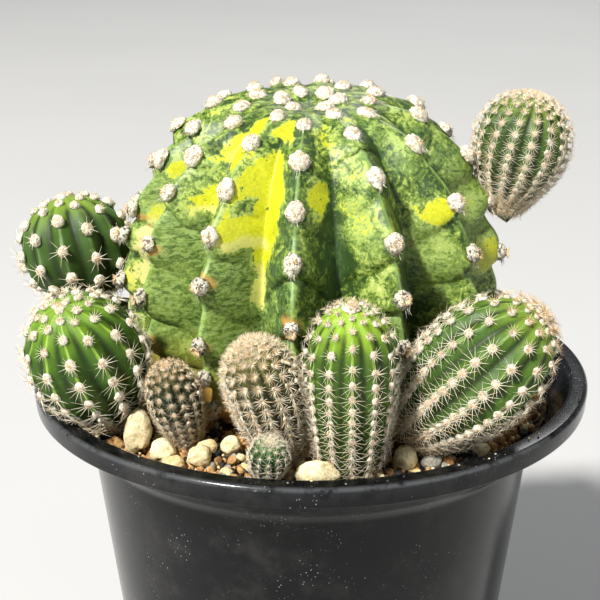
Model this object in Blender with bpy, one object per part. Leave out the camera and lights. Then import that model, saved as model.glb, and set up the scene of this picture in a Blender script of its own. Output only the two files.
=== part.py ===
"""Round ribbed cactus with its offsets, in the gritty soil of a black nursery pot.

Units are metres, +Z is up, and the cactus faces -Y. The origin is the middle of the pot's
foot, on the surface that the pot stands on. The plant's own layout is written in
millimetres from the middle of the rim, for a pot body of LAYOUT_BODY_MM and a big stem of
LAYOUT_STEM_MM. It scales with the pot's body, so that the plant goes on filling a wider or
a narrower pot, and the offsets on the big stem's flanks move out or in with the flanks.
"""

import math
import random

import bmesh
import bpy
from mathutils import Matrix, Vector

# Pot
POT_HEIGHT = 0.125
RIM_RADIUS = 0.075
RIM_LAND = 0.0044  # flat top of the rim, from its outer edge to its inner edge
RIM_SKIRT = 0.0052  # height of the band that hangs from the rim
FLARE_DEPTH = 0.0155  # the wall opens out over this height to meet the rim
BODY_RADIUS = 0.0607  # outside of the straight wall, at the bottom of the flare
FOOT_RADIUS = 0.0480
WALL = 0.0016
FOOT_RING_WIDTH = 0.0050
UNDERSIDE_RECESS = 0.0020
GATE_BOSS_RADIUS = 0.0120
DRAIN_HOLES = 8
DRAIN_HOLE_RADIUS = 0.0035
DRAIN_CIRCLE_RADIUS = 0.0290
FOOT_NOTCHES = 4
FOOT_NOTCH_WIDTH = 0.0100
FOOT_NOTCH_HEIGHT = 0.0012
POT_SEGMENTS = 52

# Soil
HEADSPACE = 0.0072  # from the rim down to the soil beside the wall
SOIL_MOUND = 0.0010  # how much higher the soil is in the middle
SOIL_SEGMENTS = 36
GAP = 0.0004  # kept between pieces that touch
SOIL_WALL_GAP = 0.00064  # between the soil and the pot's wall, at the top and the bottom
SOIL_LEAST_GAP = 0.0001  # between them where the wall bends; nearer, the soil bends with it
SOCKET_GAP = 0.0005  # all round each stem's root collar
SOCKET_FLARE = 0.35  # how fast a socket opens upwards

# Plant
LAYOUT_BODY_MM = 60.7
LAYOUT_STEM_MM = 51.0
STEM_RADIUS = 0.0510
STEM_HALF_HEIGHT = 0.0510
STEM_MIDDLE_MM = (0.0, 5.0, 25.0)
FLANK_EASE = 0.08  # room for a flank of another curve, as a share of its move
STEM_SHOULDER = 0.82  # under 1 fills out the shoulders above the widest ring
STEM_WAIST = 0.95  # the same, below the widest ring
STEM_LEAN_DEG = 7.3  # the crown tips this far towards the front
STEM_LAST_POLAR_DEG = 126.0  # where the ribs end, just above the soil
STEM_CROWN_SINK = 0.0035
STEM_COLLAR_RADIUS = 0.0300
STEM_COLLAR_DEPTH = 0.0060
RIB_DEPTH = 0.17  # of the stem's radius
AREOLE_PITCH_DEG = 15.0  # along a rib, from one woolly cushion to the next
AREOLE_BUMP = 0.0012
RIB_AZIMUTHS_DEG = (-78, -57, -32, -5, 26, 56, 88, 116, 143, 171, 199, 227, 254)
STEPS_PER_RIB = 6
PUP_COLLAR_DEPTH = 0.0040
COLLAR_SHARE = 0.85  # radius of a root collar, of its foot's
PUP_RINGS = 9
FINE_RIBS = 14  # from this many ribs on, a rib is too narrow for a third step

SOIL = None

# name, foot, tip (millimetres from the rim's middle), widest radius, foot radius,
# where it is widest (0 foot to 1 tip), taper towards the foot, ribs, rib depth, root: the
# soil, or the point on the big stem's flank that its neck grows from
PUPS = (
    ("pup_upper_left", (-61.4, 10.0, 14.8), (-68.2, 13.4, 43.6), 15.2, 5.0, 0.50, 0.75, 12, 0.13, (-45.2, 7.4, 11.0)),
    ("pup_front_left", (-49.0, -27.0, -5.0), (-59.6, -42.0, 31.2), 14.2, 4.2, 0.60, 1.00, 12, 0.13, SOIL),
    ("pup_small_dark", (-30.8, -36.2, -6.6), (-34.9, -43.6, 16.4), 6.8, 3.6, 0.60, 1.00, 14, 0.10, SOIL),
    ("pup_spiny", (-5.0, -45.5, -6.4), (-13.9, -57.5, 26.8), 8.3, 4.0, 0.66, 1.00, 15, 0.08, SOIL),
    ("pup_columnar", (9.6, -50.4, -6.6), (9.2, -59.2, 37.0), 10.2, 7.0, 0.66, 0.90, 12, 0.11, SOIL),
    ("pup_right", (23.2, -42.8, -1.0), (54.2, -47.7, 31.4), 14.0, 4.8, 0.54, 0.80, 13, 0.11, SOIL),
    ("pup_shoulder", (51.2, 5.4, 41.4), (58.2, 2.0, 73.2), 12.1, 3.6, 0.62, 1.15, 16, 0.08, (50.6, 5.4, 40.6)),
    ("pup_tiny_front", (-10.2, -57.8, -5.2), (-9.2, -63.0, 5.6), 4.6, 2.2, 0.58, 0.80, 12, 0.10, SOIL),
)

# name, middle (x, y in millimetres), half sizes along its own axes, turn about Z, tip, kind
STONES = (
    ("pumice_long", (-42.6, -41.6), (3.5, 3.3, 6.2), 20, 10, "pumice"),
    ("pumice_round", (-36.0, -45.8), (3.4, 3.2, 3.0), 0, 0, "pumice"),
    ("pumice_small_wedge", (-33.0, -50.8), (3.0, 2.2, 2.1), -20, 0, "pumice"),
    ("pumice_wedge", (-26.9, -49.4), (3.6, 2.8, 3.0), 15, 0, "pumice"),
    ("pumice_pale", (-25.4, -43.2), (2.6, 1.9, 2.2), 10, 0, "pumice"),
    ("pumice_pale_lump", (-19.4, -43.0), (2.8, 2.4, 2.5), 25, 0, "pumice"),
    ("pumice_front", (1.6, -60.2), (5.4, 2.3, 3.6), 4, 0, "pumice"),
    ("pumice_bead", (-1.8, -52.4), (1.7, 1.6, 1.7), 0, 0, "pumice"),
    ("pumice_yellow", (22.8, -50.4), (3.0, 2.8, 3.3), 10, 0, "pumice"),
    ("pumice_right", (60.8, -5.0), (3.2, 2.8, 2.5), 60, 0, "pumice"),
    ("pumice_chip", (42.0, -43.4), (2.4, 1.8, 1.9), 35, 0, "pumice"),
    ("pumice_back_left", (-45.5, 34.5), (3.6, 2.9, 2.7), -40, 0, "pumice"),
    ("pumice_back_right", (28.6, 49.2), (3.6, 2.5, 2.5), -20, 0, "pumice"),
    ("pumice_back", (-13.4, 55.0), (3.0, 2.4, 2.3), 0, 0, "pumice"),
    ("grit_grey", (29.2, -49.6), (2.7, 2.0, 1.9), 20, 0, "grey"),
    ("grit_grey_back", (53.0, 22.0), (3.2, 2.4, 2.3), -30, 0, "grey"),
    ("akadama_right", (54.0, -17.6), (3.2, 2.8, 2.6), 10, 0, "akadama"),
    ("akadama_right_small", (55.2, -24.0), (2.5, 2.1, 2.0), 50, 0, "akadama"),
    ("akadama_right_low", (48.6, -32.4), (2.8, 2.2, 2.0), -30, 0, "akadama"),
    ("akadama_left", (-53.6, -12.0), (2.5, 2.2, 2.1), 30, 0, "akadama"),
    ("akadama_back", (7.6, 55.4), (2.7, 2.3, 2.2), 0, 0, "akadama"),
    ("akadama_back_left", (-33.0, 46.6), (2.6, 2.2, 2.1), 45, 0, "akadama"),
    ("lava_right", (36.8, -44.4), (2.8, 2.2, 1.9), -15, 0, "lava"),
    ("lava_back_right", (44.8, 36.2), (3.1, 2.5, 2.3), 10, 0, "lava"),
)

STONE_LOOKS = {
    "pumice": (0.80, 0.72, 0.46),
    "grey": (0.42, 0.40, 0.34),
    "akadama": (0.46, 0.24, 0.10),
    "lava": (0.030, 0.028, 0.026),
}

SCALE = BODY_RADIUS / (LAYOUT_BODY_MM * 0.001)
MM = 0.001 * SCALE  # one millimetre of the plant's layout
RIM_MIDDLE = Vector((0.0, 0.0, POT_HEIGHT))
FRONT = Vector((0.0, -1.0, 0.0))
UP = Vector((0.0, 0.0, 1.0))


def at(x, y, z):
    """A point of the layout, in world metres."""
    return RIM_MIDDLE + Vector((x, y, z)) * MM


def clear_scene():
    for obj in list(bpy.data.objects):
        bpy.data.objects.remove(obj, do_unlink=True)


def material(name, colour, roughness):
    made = bpy.data.materials.new(name)
    made.use_nodes = True
    shader = made.node_tree.nodes["Principled BSDF"]
    shader.inputs["Base Color"].default_value = (*colour, 1.0)
    shader.inputs["Roughness"].default_value = roughness
    shader.inputs["Metallic"].default_value = 0.0
    return made


def object_from(name, mesh_source, looks, smooth_angle_deg=40.0):
    """A new object from a bmesh, with its faces turned out and shaded smooth."""
    bmesh.ops.recalc_face_normals(mesh_source, faces=mesh_source.faces)
    mesh = bpy.data.meshes.new(name)
    mesh_source.to_mesh(mesh)
    mesh_source.free()
    mesh.shade_smooth()
    mesh.set_sharp_from_angle(angle=math.radians(smooth_angle_deg))
    mesh.materials.append(looks)
    obj = bpy.data.objects.new(name, mesh)
    bpy.context.scene.collection.objects.link(obj)
    return obj


def skin_of_rings(rings, first_pole, last_pole):
    """A closed bmesh: rings of points, one after another, closed by a point at each end."""
    made = bmesh.new()
    loops = [[made.verts.new(point) for point in ring] for ring in rings]
    for lower, upper in zip(loops, loops[1:]):
        for i in range(len(lower)):
            j = (i + 1) % len(lower)
            made.faces.new((lower[i], lower[j], upper[j], upper[i]))
    for loop, pole in ((loops[0], first_pole), (loops[-1], last_pole)):
        end = made.verts.new(pole)
        for i in range(len(loop)):
            made.faces.new((loop[i], loop[(i + 1) % len(loop)], end))
    return made


def turned(profile, segments):
    """A closed bmesh turned about Z from (radius, height) points; both ends lie on the axis."""
    rings = []
    for radius, height in profile[1:-1]:
        ring = []
        for i in range(segments):
            turn = 2.0 * math.pi * i / segments
            ring.append((radius * math.cos(turn), radius * math.sin(turn), height))
        rings.append(ring)
    return skin_of_rings(rings, (0.0, 0.0, profile[0][1]), (0.0, 0.0, profile[-1][1]))


def cut(target, cutter):
    """Takes the cutter out of the target, and leaves the cutter as a guide."""
    cutter.hide_render = True
    cutter.display_type = "WIRE"
    modifier = target.modifiers.new("cut_" + cutter.name, "BOOLEAN")
    modifier.operation = "DIFFERENCE"
    modifier.solver = "EXACT"
    modifier.object = cutter


# ---------------------------------------------------------------- pot


def wall_radius(height):
    """Outside radius of the straight wall at this height."""
    share = height / (POT_HEIGHT - FLARE_DEPTH)
    return FOOT_RADIUS + (BODY_RADIUS - FOOT_RADIUS) * share


def inner_profile():
    """The pot's inside from the rim's inner edge down to the floor, as (radius, height)."""
    lip = RIM_RADIUS - RIM_LAND
    bend = POT_HEIGHT - FLARE_DEPTH
    floor = UNDERSIDE_RECESS + WALL
    return [
        (lip, POT_HEIGHT),
        (lip - 0.0008, POT_HEIGHT - 0.0009),
        (lip - 0.52 * (lip - BODY_RADIUS + WALL), POT_HEIGHT - 0.52 * FLARE_DEPTH),
        (BODY_RADIUS - WALL + 0.0012, bend + 0.0010),
        (BODY_RADIUS - WALL, bend - 0.0012),
        (wall_radius(floor + 0.0040) - WALL, floor + 0.0040),
        (wall_radius(floor) - WALL - 0.0034, floor),
    ]


def outer_profile():
    """The pot's outside from the middle of the foot up to the rim's outer edge."""
    bend = POT_HEIGHT - FLARE_DEPTH
    lip = RIM_RADIUS - RIM_LAND
    skirt = POT_HEIGHT - RIM_SKIRT
    ring_inside = FOOT_RADIUS - 0.0010 - FOOT_RING_WIDTH
    return [
        (0.0, 0.0),
        (GATE_BOSS_RADIUS, 0.0),
        (GATE_BOSS_RADIUS + 0.0006, UNDERSIDE_RECESS),
        (ring_inside - 0.0006, UNDERSIDE_RECESS),
        (ring_inside, 0.0),
        (FOOT_RADIUS - 0.0010, 0.0),
        (wall_radius(0.0012), 0.0012),
        (wall_radius(0.5 * bend), 0.5 * bend),
        (wall_radius(bend - 0.0010), bend - 0.0010),
        (BODY_RADIUS + 0.0012, bend + 0.0014),
        (lip - 0.45 * (lip - BODY_RADIUS) + 0.0009, POT_HEIGHT - 0.55 * FLARE_DEPTH),
        (lip + 0.0010, POT_HEIGHT - WALL - 0.0006),
        (RIM_RADIUS - WALL - 0.0004, POT_HEIGHT - WALL - 0.0002),
        (RIM_RADIUS - WALL - 0.0002, skirt + 0.0003),
        (RIM_RADIUS - WALL, skirt),
        (RIM_RADIUS - 0.0003, skirt),
        (RIM_RADIUS, POT_HEIGHT - 0.0012),
        (RIM_RADIUS - 0.0004, POT_HEIGHT - 0.0004),
        (RIM_RADIUS - 0.0012, POT_HEIGHT),
    ]


def build_pot():
    profile = outer_profile() + inner_profile() + [(0.0, UNDERSIDE_RECESS + WALL)]
    looks = material("black_plastic", (0.012, 0.013, 0.015), 0.22)
    pot = object_from("pot", turned(profile, POT_SEGMENTS), looks, 35.0)
    for i in range(DRAIN_HOLES):
        turn = 2.0 * math.pi * (i + 0.5) / DRAIN_HOLES
        hole = bmesh.new()
        bmesh.ops.create_cone(
            hole,
            cap_ends=True,
            segments=12,
            radius1=DRAIN_HOLE_RADIUS,
            radius2=DRAIN_HOLE_RADIUS,
            depth=4.0 * (UNDERSIDE_RECESS + WALL),
        )
        cutter = object_from("drain_cutter_%d" % i, hole, looks)
        cutter.location = (DRAIN_CIRCLE_RADIUS * math.cos(turn), DRAIN_CIRCLE_RADIUS * math.sin(turn), 0.0)
        cut(pot, cutter)
    for i in range(FOOT_NOTCHES):
        turn = 2.0 * math.pi * (i + 0.25) / FOOT_NOTCHES
        block = bmesh.new()
        size = (2.4 * FOOT_RING_WIDTH, FOOT_NOTCH_WIDTH, 2.0 * FOOT_NOTCH_HEIGHT)
        bmesh.ops.create_cube(block, size=1.0)
        bmesh.ops.scale(block, vec=size, verts=block.verts)
        cutter = object_from("notch_cutter_%d" % i, block, looks)
        reach = FOOT_RADIUS - 0.0010 - 0.4 * FOOT_RING_WIDTH
        cutter.location = (reach * math.cos(turn), reach * math.sin(turn), 0.0)
        cutter.rotation_euler = (0.0, 0.0, turn)
        cut(pot, cutter)
    return pot


# ---------------------------------------------------------------- stems


def rib_share(place):
    """0 on a rib's crest and 1 in the groove; place counts ribs from a crest."""
    return abs(math.sin(math.pi * place)) ** 1.35


def stem_ring(polar_deg, step_count):
    """One level ring of the big stem's ribbed skin, in world metres."""
    polar = math.radians(polar_deg)
    fullness = STEM_SHOULDER if polar_deg < 90.0 else STEM_WAIST
    radius = STEM_RADIUS * SCALE * math.sin(polar) ** fullness
    height = STEM_HALF_HEIGHT * SCALE * math.cos(polar)
    height -= STEM_CROWN_SINK * SCALE * math.exp(-((radius / (0.17 * STEM_RADIUS * SCALE)) ** 2))
    upright = max(0.0, min(1.0, (polar_deg - 60.0) / 50.0))
    lean = Matrix.Rotation(math.radians(STEM_LEAN_DEG) * (1.0 - upright), 4, "X")
    depth = RIB_DEPTH * (1.0 - 0.45 * max(0.0, (polar_deg - 95.0) / 30.0))
    ribs = len(RIB_AZIMUTHS_DEG)
    ring = []
    for i in range(ribs * step_count):
        rib, step = divmod(i, step_count)
        here = RIB_AZIMUTHS_DEG[rib]
        following = RIB_AZIMUTHS_DEG[(rib + 1) % ribs] + (360 if rib == ribs - 1 else 0)
        place = step / step_count
        turn = math.radians(here + (following - here) * place)
        groove = rib_share(place)
        phase = 2.0 * math.pi * (polar_deg / AREOLE_PITCH_DEG + 0.5 * (rib % 2))
        bump = AREOLE_BUMP * SCALE * math.cos(phase) * (1.0 - groove) ** 2 * math.sin(polar)
        reach = radius * (1.0 - depth * groove) + bump
        point = Vector((reach * math.sin(turn), -reach * math.cos(turn), height))
        ring.append(at(*STEM_MIDDLE_MM) + lean @ point)
    return ring


def build_main_stem():
    rings = []
    polar = STEM_LAST_POLAR_DEG - 16.0 * AREOLE_PITCH_DEG / 2.0
    while polar < STEM_LAST_POLAR_DEG + 0.01:
        rings.append(stem_ring(polar, STEPS_PER_RIB))
        polar += AREOLE_PITCH_DEG / 2.0
    middle = at(*STEM_MIDDLE_MM)
    foot = rings[-1]
    count = len(foot)
    foot_z = sum(point.z for point in foot) / count
    collar = STEM_COLLAR_RADIUS * SCALE
    for share, drop in ((0.45, 0.0018), (1.0, 0.0026), (1.0, 0.0026 + STEM_COLLAR_DEPTH)):
        ring = []
        for point in foot:
            out = Vector((point.x - middle.x, point.y - middle.y))
            reach = out.length + (collar - out.length) * share
            spot = out.normalized() * reach
            ring.append(Vector((middle.x + spot.x, middle.y + spot.y, foot_z - drop)))
        rings.append(ring)
    crown = Vector((0.0, 0.0, (STEM_HALF_HEIGHT - STEM_CROWN_SINK - 0.0003) * SCALE))
    top = middle + Matrix.Rotation(math.radians(STEM_LEAN_DEG), 4, "X") @ crown
    bottom = Vector((middle.x, middle.y, foot_z - 0.0026 - STEM_COLLAR_DEPTH))
    looks = material("variegated_skin", (0.36, 0.46, 0.08), 0.42)
    return object_from("main_stem", skin_of_rings(rings, top, bottom), looks, 60.0)


def pup_radius(along, widest, foot, widest_at, taper):
    """Crest radius of an offset, along its own axis from the foot (0) to the tip (1)."""
    if along < widest_at:
        rise = math.sin(0.5 * math.pi * along / widest_at) ** taper
        return foot + (widest - foot) * rise
    fall = (along - widest_at) / (1.0 - widest_at)
    return widest * math.sqrt(max(0.0, 1.0 - fall**2.2))


def pup_frame(foot, tip):
    """The axis, its length, and two directions square to it."""
    axis = tip - foot
    length = axis.length
    axis.normalize()
    side = axis.cross(FRONT).normalized()
    ahead = side.cross(axis).normalized()
    return axis, length, side, ahead


def collar_end(foot, foot_radius):
    """Where a rooted offset's collar ends.

    That is straight below its foot, or nearer the middle where the pot's wall is in the way.
    """
    height = soil_height(foot.x, foot.y) - PUP_COLLAR_DEPTH * SCALE
    room = inner_radius(height) - foot_radius * COLLAR_SHARE * MM - GAP
    share = min(1.0, room / math.hypot(foot.x, foot.y))
    return Vector((foot.x * share, foot.y * share, height))


def flank_shift(root_mm):
    """How far an offset on the big stem's flank moves when the stem isn't the layout's size."""
    out = Vector(root_mm) - Vector(STEM_MIDDLE_MM)
    wider = STEM_RADIUS * 1000.0 / LAYOUT_STEM_MM - 1.0
    taller = STEM_HALF_HEIGHT * 1000.0 / LAYOUT_STEM_MM - 1.0
    eased = wider + FLANK_EASE * abs(wider)
    return Vector((out.x * eased, out.y * eased, out.z * taller))


def build_pup(name, foot_mm, tip_mm, widest, foot_radius, widest_at, taper, ribs, depth, root_mm, looks):
    shift = Vector() if root_mm is SOIL else flank_shift(root_mm)
    foot = at(*(Vector(foot_mm) + shift))
    tip = at(*(Vector(tip_mm) + shift))
    root = collar_end(foot, foot_radius) if root_mm is SOIL else at(*(Vector(root_mm) + shift))
    axis, length, side, ahead = pup_frame(foot, tip)
    steps = 3 if ribs < FINE_RIBS else 2
    count = ribs * steps
    rings = []
    neck = (foot - root).normalized()
    neck_side = (side - neck * side.dot(neck)).normalized()
    neck_ahead = neck_side.cross(neck)
    collar = []
    for i in range(count):
        turn = 2.0 * math.pi * i / count
        out = neck_side * math.sin(turn) + neck_ahead * math.cos(turn)
        collar.append(root + out * foot_radius * COLLAR_SHARE * MM)
    rings.append(collar)
    for i in range(PUP_RINGS + 1):
        along = math.sin(0.5 * math.pi * i / (PUP_RINGS + 0.6)) ** 1.1
        radius = pup_radius(along, widest, foot_radius, widest_at, taper) * MM
        ribbing = depth * min(1.0, 3.0 * along)
        ring = []
        for j in range(count):
            turn = 2.0 * math.pi * j / count
            reach = radius * (1.0 - ribbing * rib_share(j / steps))
            out = side * math.sin(turn) + ahead * math.cos(turn)
            ring.append(foot + axis * length * along + out * reach)
        rings.append(ring)
    return object_from(name, skin_of_rings(rings, root, tip - axis * 0.2 * MM), looks, 60.0)


# ---------------------------------------------------------------- soil and stones


def soil_height(x, y):
    """Height of the soil's surface, highest in the middle of the pot."""
    reach = math.hypot(x, y) / BODY_RADIUS
    return POT_HEIGHT - HEADSPACE * SCALE + SOIL_MOUND * SCALE * (1.0 - reach**2)


def inner_radius(height):
    """Inside radius of the pot at this height."""
    profile = inner_profile()[::-1]
    for (low_r, low_z), (high_r, high_z) in zip(profile, profile[1:]):
        if height <= high_z:
            share = max(0.0, (height - low_z) / (high_z - low_z))
            return low_r + (high_r - low_r) * share
    return profile[-1][0]


def soil_edge(height):
    """Radius of the soil beside the wall at this height, with its gap."""
    return inner_radius(height) - SOIL_WALL_GAP


def soil_side(low, high):
    """The soil's side between two heights, as (radius, height).

    It is straight, and bends with the wall only where a straight side would meet the wall.
    """
    side = [(soil_edge(low), low)]
    for radius, height in inner_profile()[::-1]:
        if low < height < high:
            share = (height - low) / (high - low)
            straight = soil_edge(low) + (soil_edge(high) - soil_edge(low)) * share
            if straight > radius - SOIL_LEAST_GAP:
                side.append((radius - SOIL_WALL_GAP, height))
    side.append((soil_edge(high), high))
    return side


def build_soil():
    floor = UNDERSIDE_RECESS + WALL + GAP
    knee = floor + 0.0042
    shoulder = POT_HEIGHT - FLARE_DEPTH - 0.0022
    brim = soil_height(BODY_RADIUS, 0.0)
    profile = [(0.0, floor)]
    profile.append((soil_edge(floor) - GAP, floor))
    profile.append((soil_edge(knee), knee))
    profile.extend(soil_side(shoulder, brim))
    for share in (0.92, 0.80, 0.62):
        reach = share * BODY_RADIUS
        profile.append((reach, soil_height(reach, 0.0)))
    profile.append((0.0, soil_height(0.0, 0.0)))
    looks = material("potting_grit", (0.085, 0.052, 0.030), 0.95)
    return object_from("soil", turned(profile, SOIL_SEGMENTS), looks, 40.0)


def cut_socket(soil, name, foot, foot_radius):
    """Bores a socket for one root collar. It opens upwards, to clear the swell above."""
    end = collar_end(foot, foot_radius)
    radius = foot_radius * COLLAR_SHARE * MM + SOCKET_GAP
    depth = PUP_COLLAR_DEPTH * SCALE
    socket = bmesh.new()
    bmesh.ops.create_cone(
        socket,
        cap_ends=True,
        segments=24,
        radius1=radius,
        radius2=radius + SOCKET_FLARE * 2.0 * depth,
        depth=2.0 * depth,
    )
    cutter = object_from("socket_" + name, socket, soil.data.materials[0])
    cutter.location = end + UP * (depth - SOCKET_GAP)
    cut(soil, cutter)


def cut_stem_dish(soil, stem):
    """Hollows the soil under the big stem to the stem's own foot, with a gap."""
    middle = at(*STEM_MIDDLE_MM)
    foot_z = min(vertex.co.z for vertex in stem.data.vertices)
    reach = STEM_RADIUS * SCALE * 0.86
    collar_top = foot_z + STEM_COLLAR_DEPTH
    profile = [
        (0.0, foot_z - SOCKET_GAP),
        (STEM_COLLAR_RADIUS * SCALE + SOCKET_GAP, foot_z - SOCKET_GAP),
        (STEM_COLLAR_RADIUS * SCALE + SOCKET_GAP, collar_top - SOCKET_GAP),
        (reach, collar_top),
        (reach * 1.10, collar_top + 0.0040),
        (reach * 1.10, collar_top + 0.0200),
        (0.0, collar_top + 0.0200),
    ]
    cutter = object_from("socket_main", turned(profile, 36), soil.data.materials[0])
    cutter.location = (middle.x, middle.y, 0.0)
    cut(soil, cutter)


def build_stone(name, middle, half_sizes, turn_deg, tip_deg, looks, seed):
    """A worn stone that lies on the soil: a rounded lump with a few flattened sides."""
    chance = random.Random(seed)
    lump = bmesh.new()
    bmesh.ops.create_icosphere(lump, subdivisions=2, radius=1.0)
    flats = []
    for _ in range(7):
        way = Vector((chance.gauss(0, 1), chance.gauss(0, 1), chance.gauss(0, 1))).normalized()
        flats.append((way, chance.uniform(0.74, 0.92)))
    for vertex in lump.verts:
        for way, limit in flats:
            over = vertex.co.dot(way) - limit
            if over > 0.0:
                vertex.co -= way * over * 0.85
    bmesh.ops.scale(lump, vec=[size * MM for size in half_sizes], verts=lump.verts)
    tipped = Matrix.Rotation(math.radians(turn_deg), 4, "Z") @ Matrix.Rotation(math.radians(tip_deg), 4, "Y")
    bmesh.ops.transform(lump, matrix=tipped, verts=lump.verts)
    x, y = middle[0] * MM, middle[1] * MM
    lift = max(soil_height(x + v.co.x, y + v.co.y) - v.co.z for v in lump.verts) + GAP
    obj = object_from(name, lump, looks, 50.0)
    obj.location = (x, y, lift)
    return obj


def main():
    clear_scene()
    build_pot()
    soil = build_soil()
    stem = build_main_stem()
    cut_stem_dish(soil, stem)
    pup_looks = {
        "pup_upper_left": (0.045, 0.16, 0.030),
        "pup_front_left": (0.10, 0.30, 0.035),
        "pup_small_dark": (0.050, 0.085, 0.030),
        "pup_spiny": (0.20, 0.17, 0.070),
        "pup_columnar": (0.13, 0.27, 0.050),
        "pup_right": (0.13, 0.25, 0.050),
        "pup_shoulder": (0.15, 0.23, 0.060),
        "pup_tiny_front": (0.070, 0.17, 0.035),
    }
    for name, foot_mm, tip_mm, widest, foot_radius, widest_at, taper, ribs, depth, root_mm in PUPS:
        looks = material(name + "_skin", pup_looks[name], 0.45)
        build_pup(name, foot_mm, tip_mm, widest, foot_radius, widest_at, taper, ribs, depth, root_mm, looks)
        if root_mm is SOIL:
            cut_socket(soil, name, at(*foot_mm), foot_radius)
    stone_looks = {kind: material(kind, colour, 0.9) for kind, colour in STONE_LOOKS.items()}
    for seed, (name, middle, half_sizes, turn_deg, tip_deg, kind) in enumerate(STONES):
        build_stone(name, middle, half_sizes, turn_deg, tip_deg, stone_looks[kind], seed)


main()
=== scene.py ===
import math

import bmesh
import bpy
import numpy as np
from mathutils import Matrix, Vector


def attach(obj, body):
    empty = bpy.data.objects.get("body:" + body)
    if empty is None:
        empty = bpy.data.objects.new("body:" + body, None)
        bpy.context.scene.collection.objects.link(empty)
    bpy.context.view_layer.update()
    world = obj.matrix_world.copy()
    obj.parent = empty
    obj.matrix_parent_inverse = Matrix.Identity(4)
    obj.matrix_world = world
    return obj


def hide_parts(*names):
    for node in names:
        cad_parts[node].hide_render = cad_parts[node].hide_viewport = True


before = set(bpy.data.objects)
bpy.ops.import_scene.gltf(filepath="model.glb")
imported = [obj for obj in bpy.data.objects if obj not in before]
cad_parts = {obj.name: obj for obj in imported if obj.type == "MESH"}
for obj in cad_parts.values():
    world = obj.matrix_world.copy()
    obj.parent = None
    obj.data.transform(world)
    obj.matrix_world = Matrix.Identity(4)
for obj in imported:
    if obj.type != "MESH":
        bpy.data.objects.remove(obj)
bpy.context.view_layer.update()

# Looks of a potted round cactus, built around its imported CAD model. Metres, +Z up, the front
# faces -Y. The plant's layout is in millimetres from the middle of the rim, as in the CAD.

MM = 0.001
STEM_SEED = 100
STONE_SEED = 300
PUP_SEED = 500
GRAIN_SEED = 77
UP = np.array((0.0, 0.0, 1.0))

# ---------------------------------------------------------------- sizes, as in the CAD

POT_HEIGHT = 0.125
RIM_RADIUS = 0.075
RIM_LAND = 0.0044
RIM_SKIRT = 0.0052
FLARE_DEPTH = 0.0155
BODY_RADIUS = 0.0607
FOOT_RADIUS = 0.0480
WALL = 0.0016
FOOT_RING_WIDTH = 0.0050
UNDERSIDE_RECESS = 0.0020
GATE_BOSS_RADIUS = 0.0120
DRAIN_HOLES = 8
DRAIN_HOLE_RADIUS = 0.0035
DRAIN_CIRCLE_RADIUS = 0.0290
FOOT_NOTCHES = 4
FOOT_NOTCH_WIDTH = 0.0100
FOOT_NOTCH_HEIGHT = 0.0012

HEADSPACE = 0.0072
SOIL_MOUND = 0.0010

STEM_RADIUS = 51.0
STEM_HALF_HEIGHT = 51.0
STEM_MIDDLE = (0.0, 5.0, 25.0)
# Exponents for how full the stem is above and below its widest place
STEM_SHOULDER = 0.82
STEM_WAIST = 0.95
STEM_LEAN_DEG = 7.3
STEM_LAST_POLAR = 126.0
STEM_CROWN_SINK = 3.5
# Depth of the grooves as a share of the radius, and where the ribs are round the stem, from
# the front
RIB_DEPTH = 0.17
RIB_AZIMUTHS_DEG = (-78, -57, -32, -5, 26, 56, 88, 116, 143, 171, 199, 227, 254)

# How far down each rib its woolly areoles sit, as polar angles from the crown
RIB_AREOLES = (
    (16, 32, 46, 64, 73, 88, 102, 115),
    (22, 38, 51, 68, 86, 101, 114),
    (13, 27, 44, 58, 74, 94, 106, 118),
    (16, 32, 48, 63, 84, 98, 111),
    (11, 22, 39, 59, 77, 93, 106, 118),
    (15, 33, 54, 71, 87, 101, 114),
    (13, 28, 48, 65, 83, 98, 113),
    (17, 33, 48, 64, 80, 95, 110),
    (12, 26, 42, 58, 73, 89, 104, 117),
    (18, 34, 50, 66, 81, 97, 112),
    (13, 28, 44, 60, 76, 92, 107),
    (19, 35, 50, 66, 82, 98, 113),
    (12, 26, 41, 57, 72, 88, 103, 117),
)

# The camera: place in metres, lens in millimetres, and how far it looks down, aside and askew
CAMERA_PLACE = (0.0, -0.3333, 0.2592)
CAMERA_LENS = 78.0
CAMERA_SENSOR = 36.0
CAMERA_PITCH_DEG = 19.18
CAMERA_YAW_DEG = -0.49
CAMERA_ROLL_DEG = -0.14


def at(x, y, z):
    """A point of the layout, in world metres."""
    return np.array((x * MM, y * MM, z * MM + POT_HEIGHT))


# ---------------------------------------------------------------- noise and mesh helpers


def lattice(ix, iy, iz, seed):
    """A repeatable number from 0 to 1 for each corner of a cubic lattice."""
    n = (ix * 374761393 + iy * 668265263 + iz * 1103515245 + seed * 974634777) & 0xFFFFFFFF
    n = ((n ^ (n >> 13)) * 1274126177) & 0xFFFFFFFF
    n = ((n ^ (n >> 15)) * 2246822519) & 0xFFFFFFFF
    return ((n ^ (n >> 16)) & 0xFFFFFF) / 16777215.0


def smooth_noise(points, seed=0):
    """Smooth noise from -1 to 1 at these points, with features about one unit across."""
    cell = np.floor(points).astype(np.int64)
    f = points - cell
    f = f * f * f * (f * (f * 6.0 - 15.0) + 10.0)
    total = 0.0
    for corner in np.ndindex(2, 2, 2):
        weight = 1.0
        for axis, far in enumerate(corner):
            weight = weight * (f[..., axis] if far else 1.0 - f[..., axis])
        total = total + weight * lattice(*np.moveaxis(cell + corner, -1, 0), seed)
    return total * 2.0 - 1.0


def rough_noise(points, seed, octaves=3):
    """Several octaves of smooth noise, from about -1 to 1."""
    total, norm = 0.0, 0.0
    for octave in range(octaves):
        size = 0.5**octave
        total = total + size * smooth_noise(points * 2.0**octave + 17.3 * octave, seed + octave)
        norm += size
    return total / norm


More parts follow.
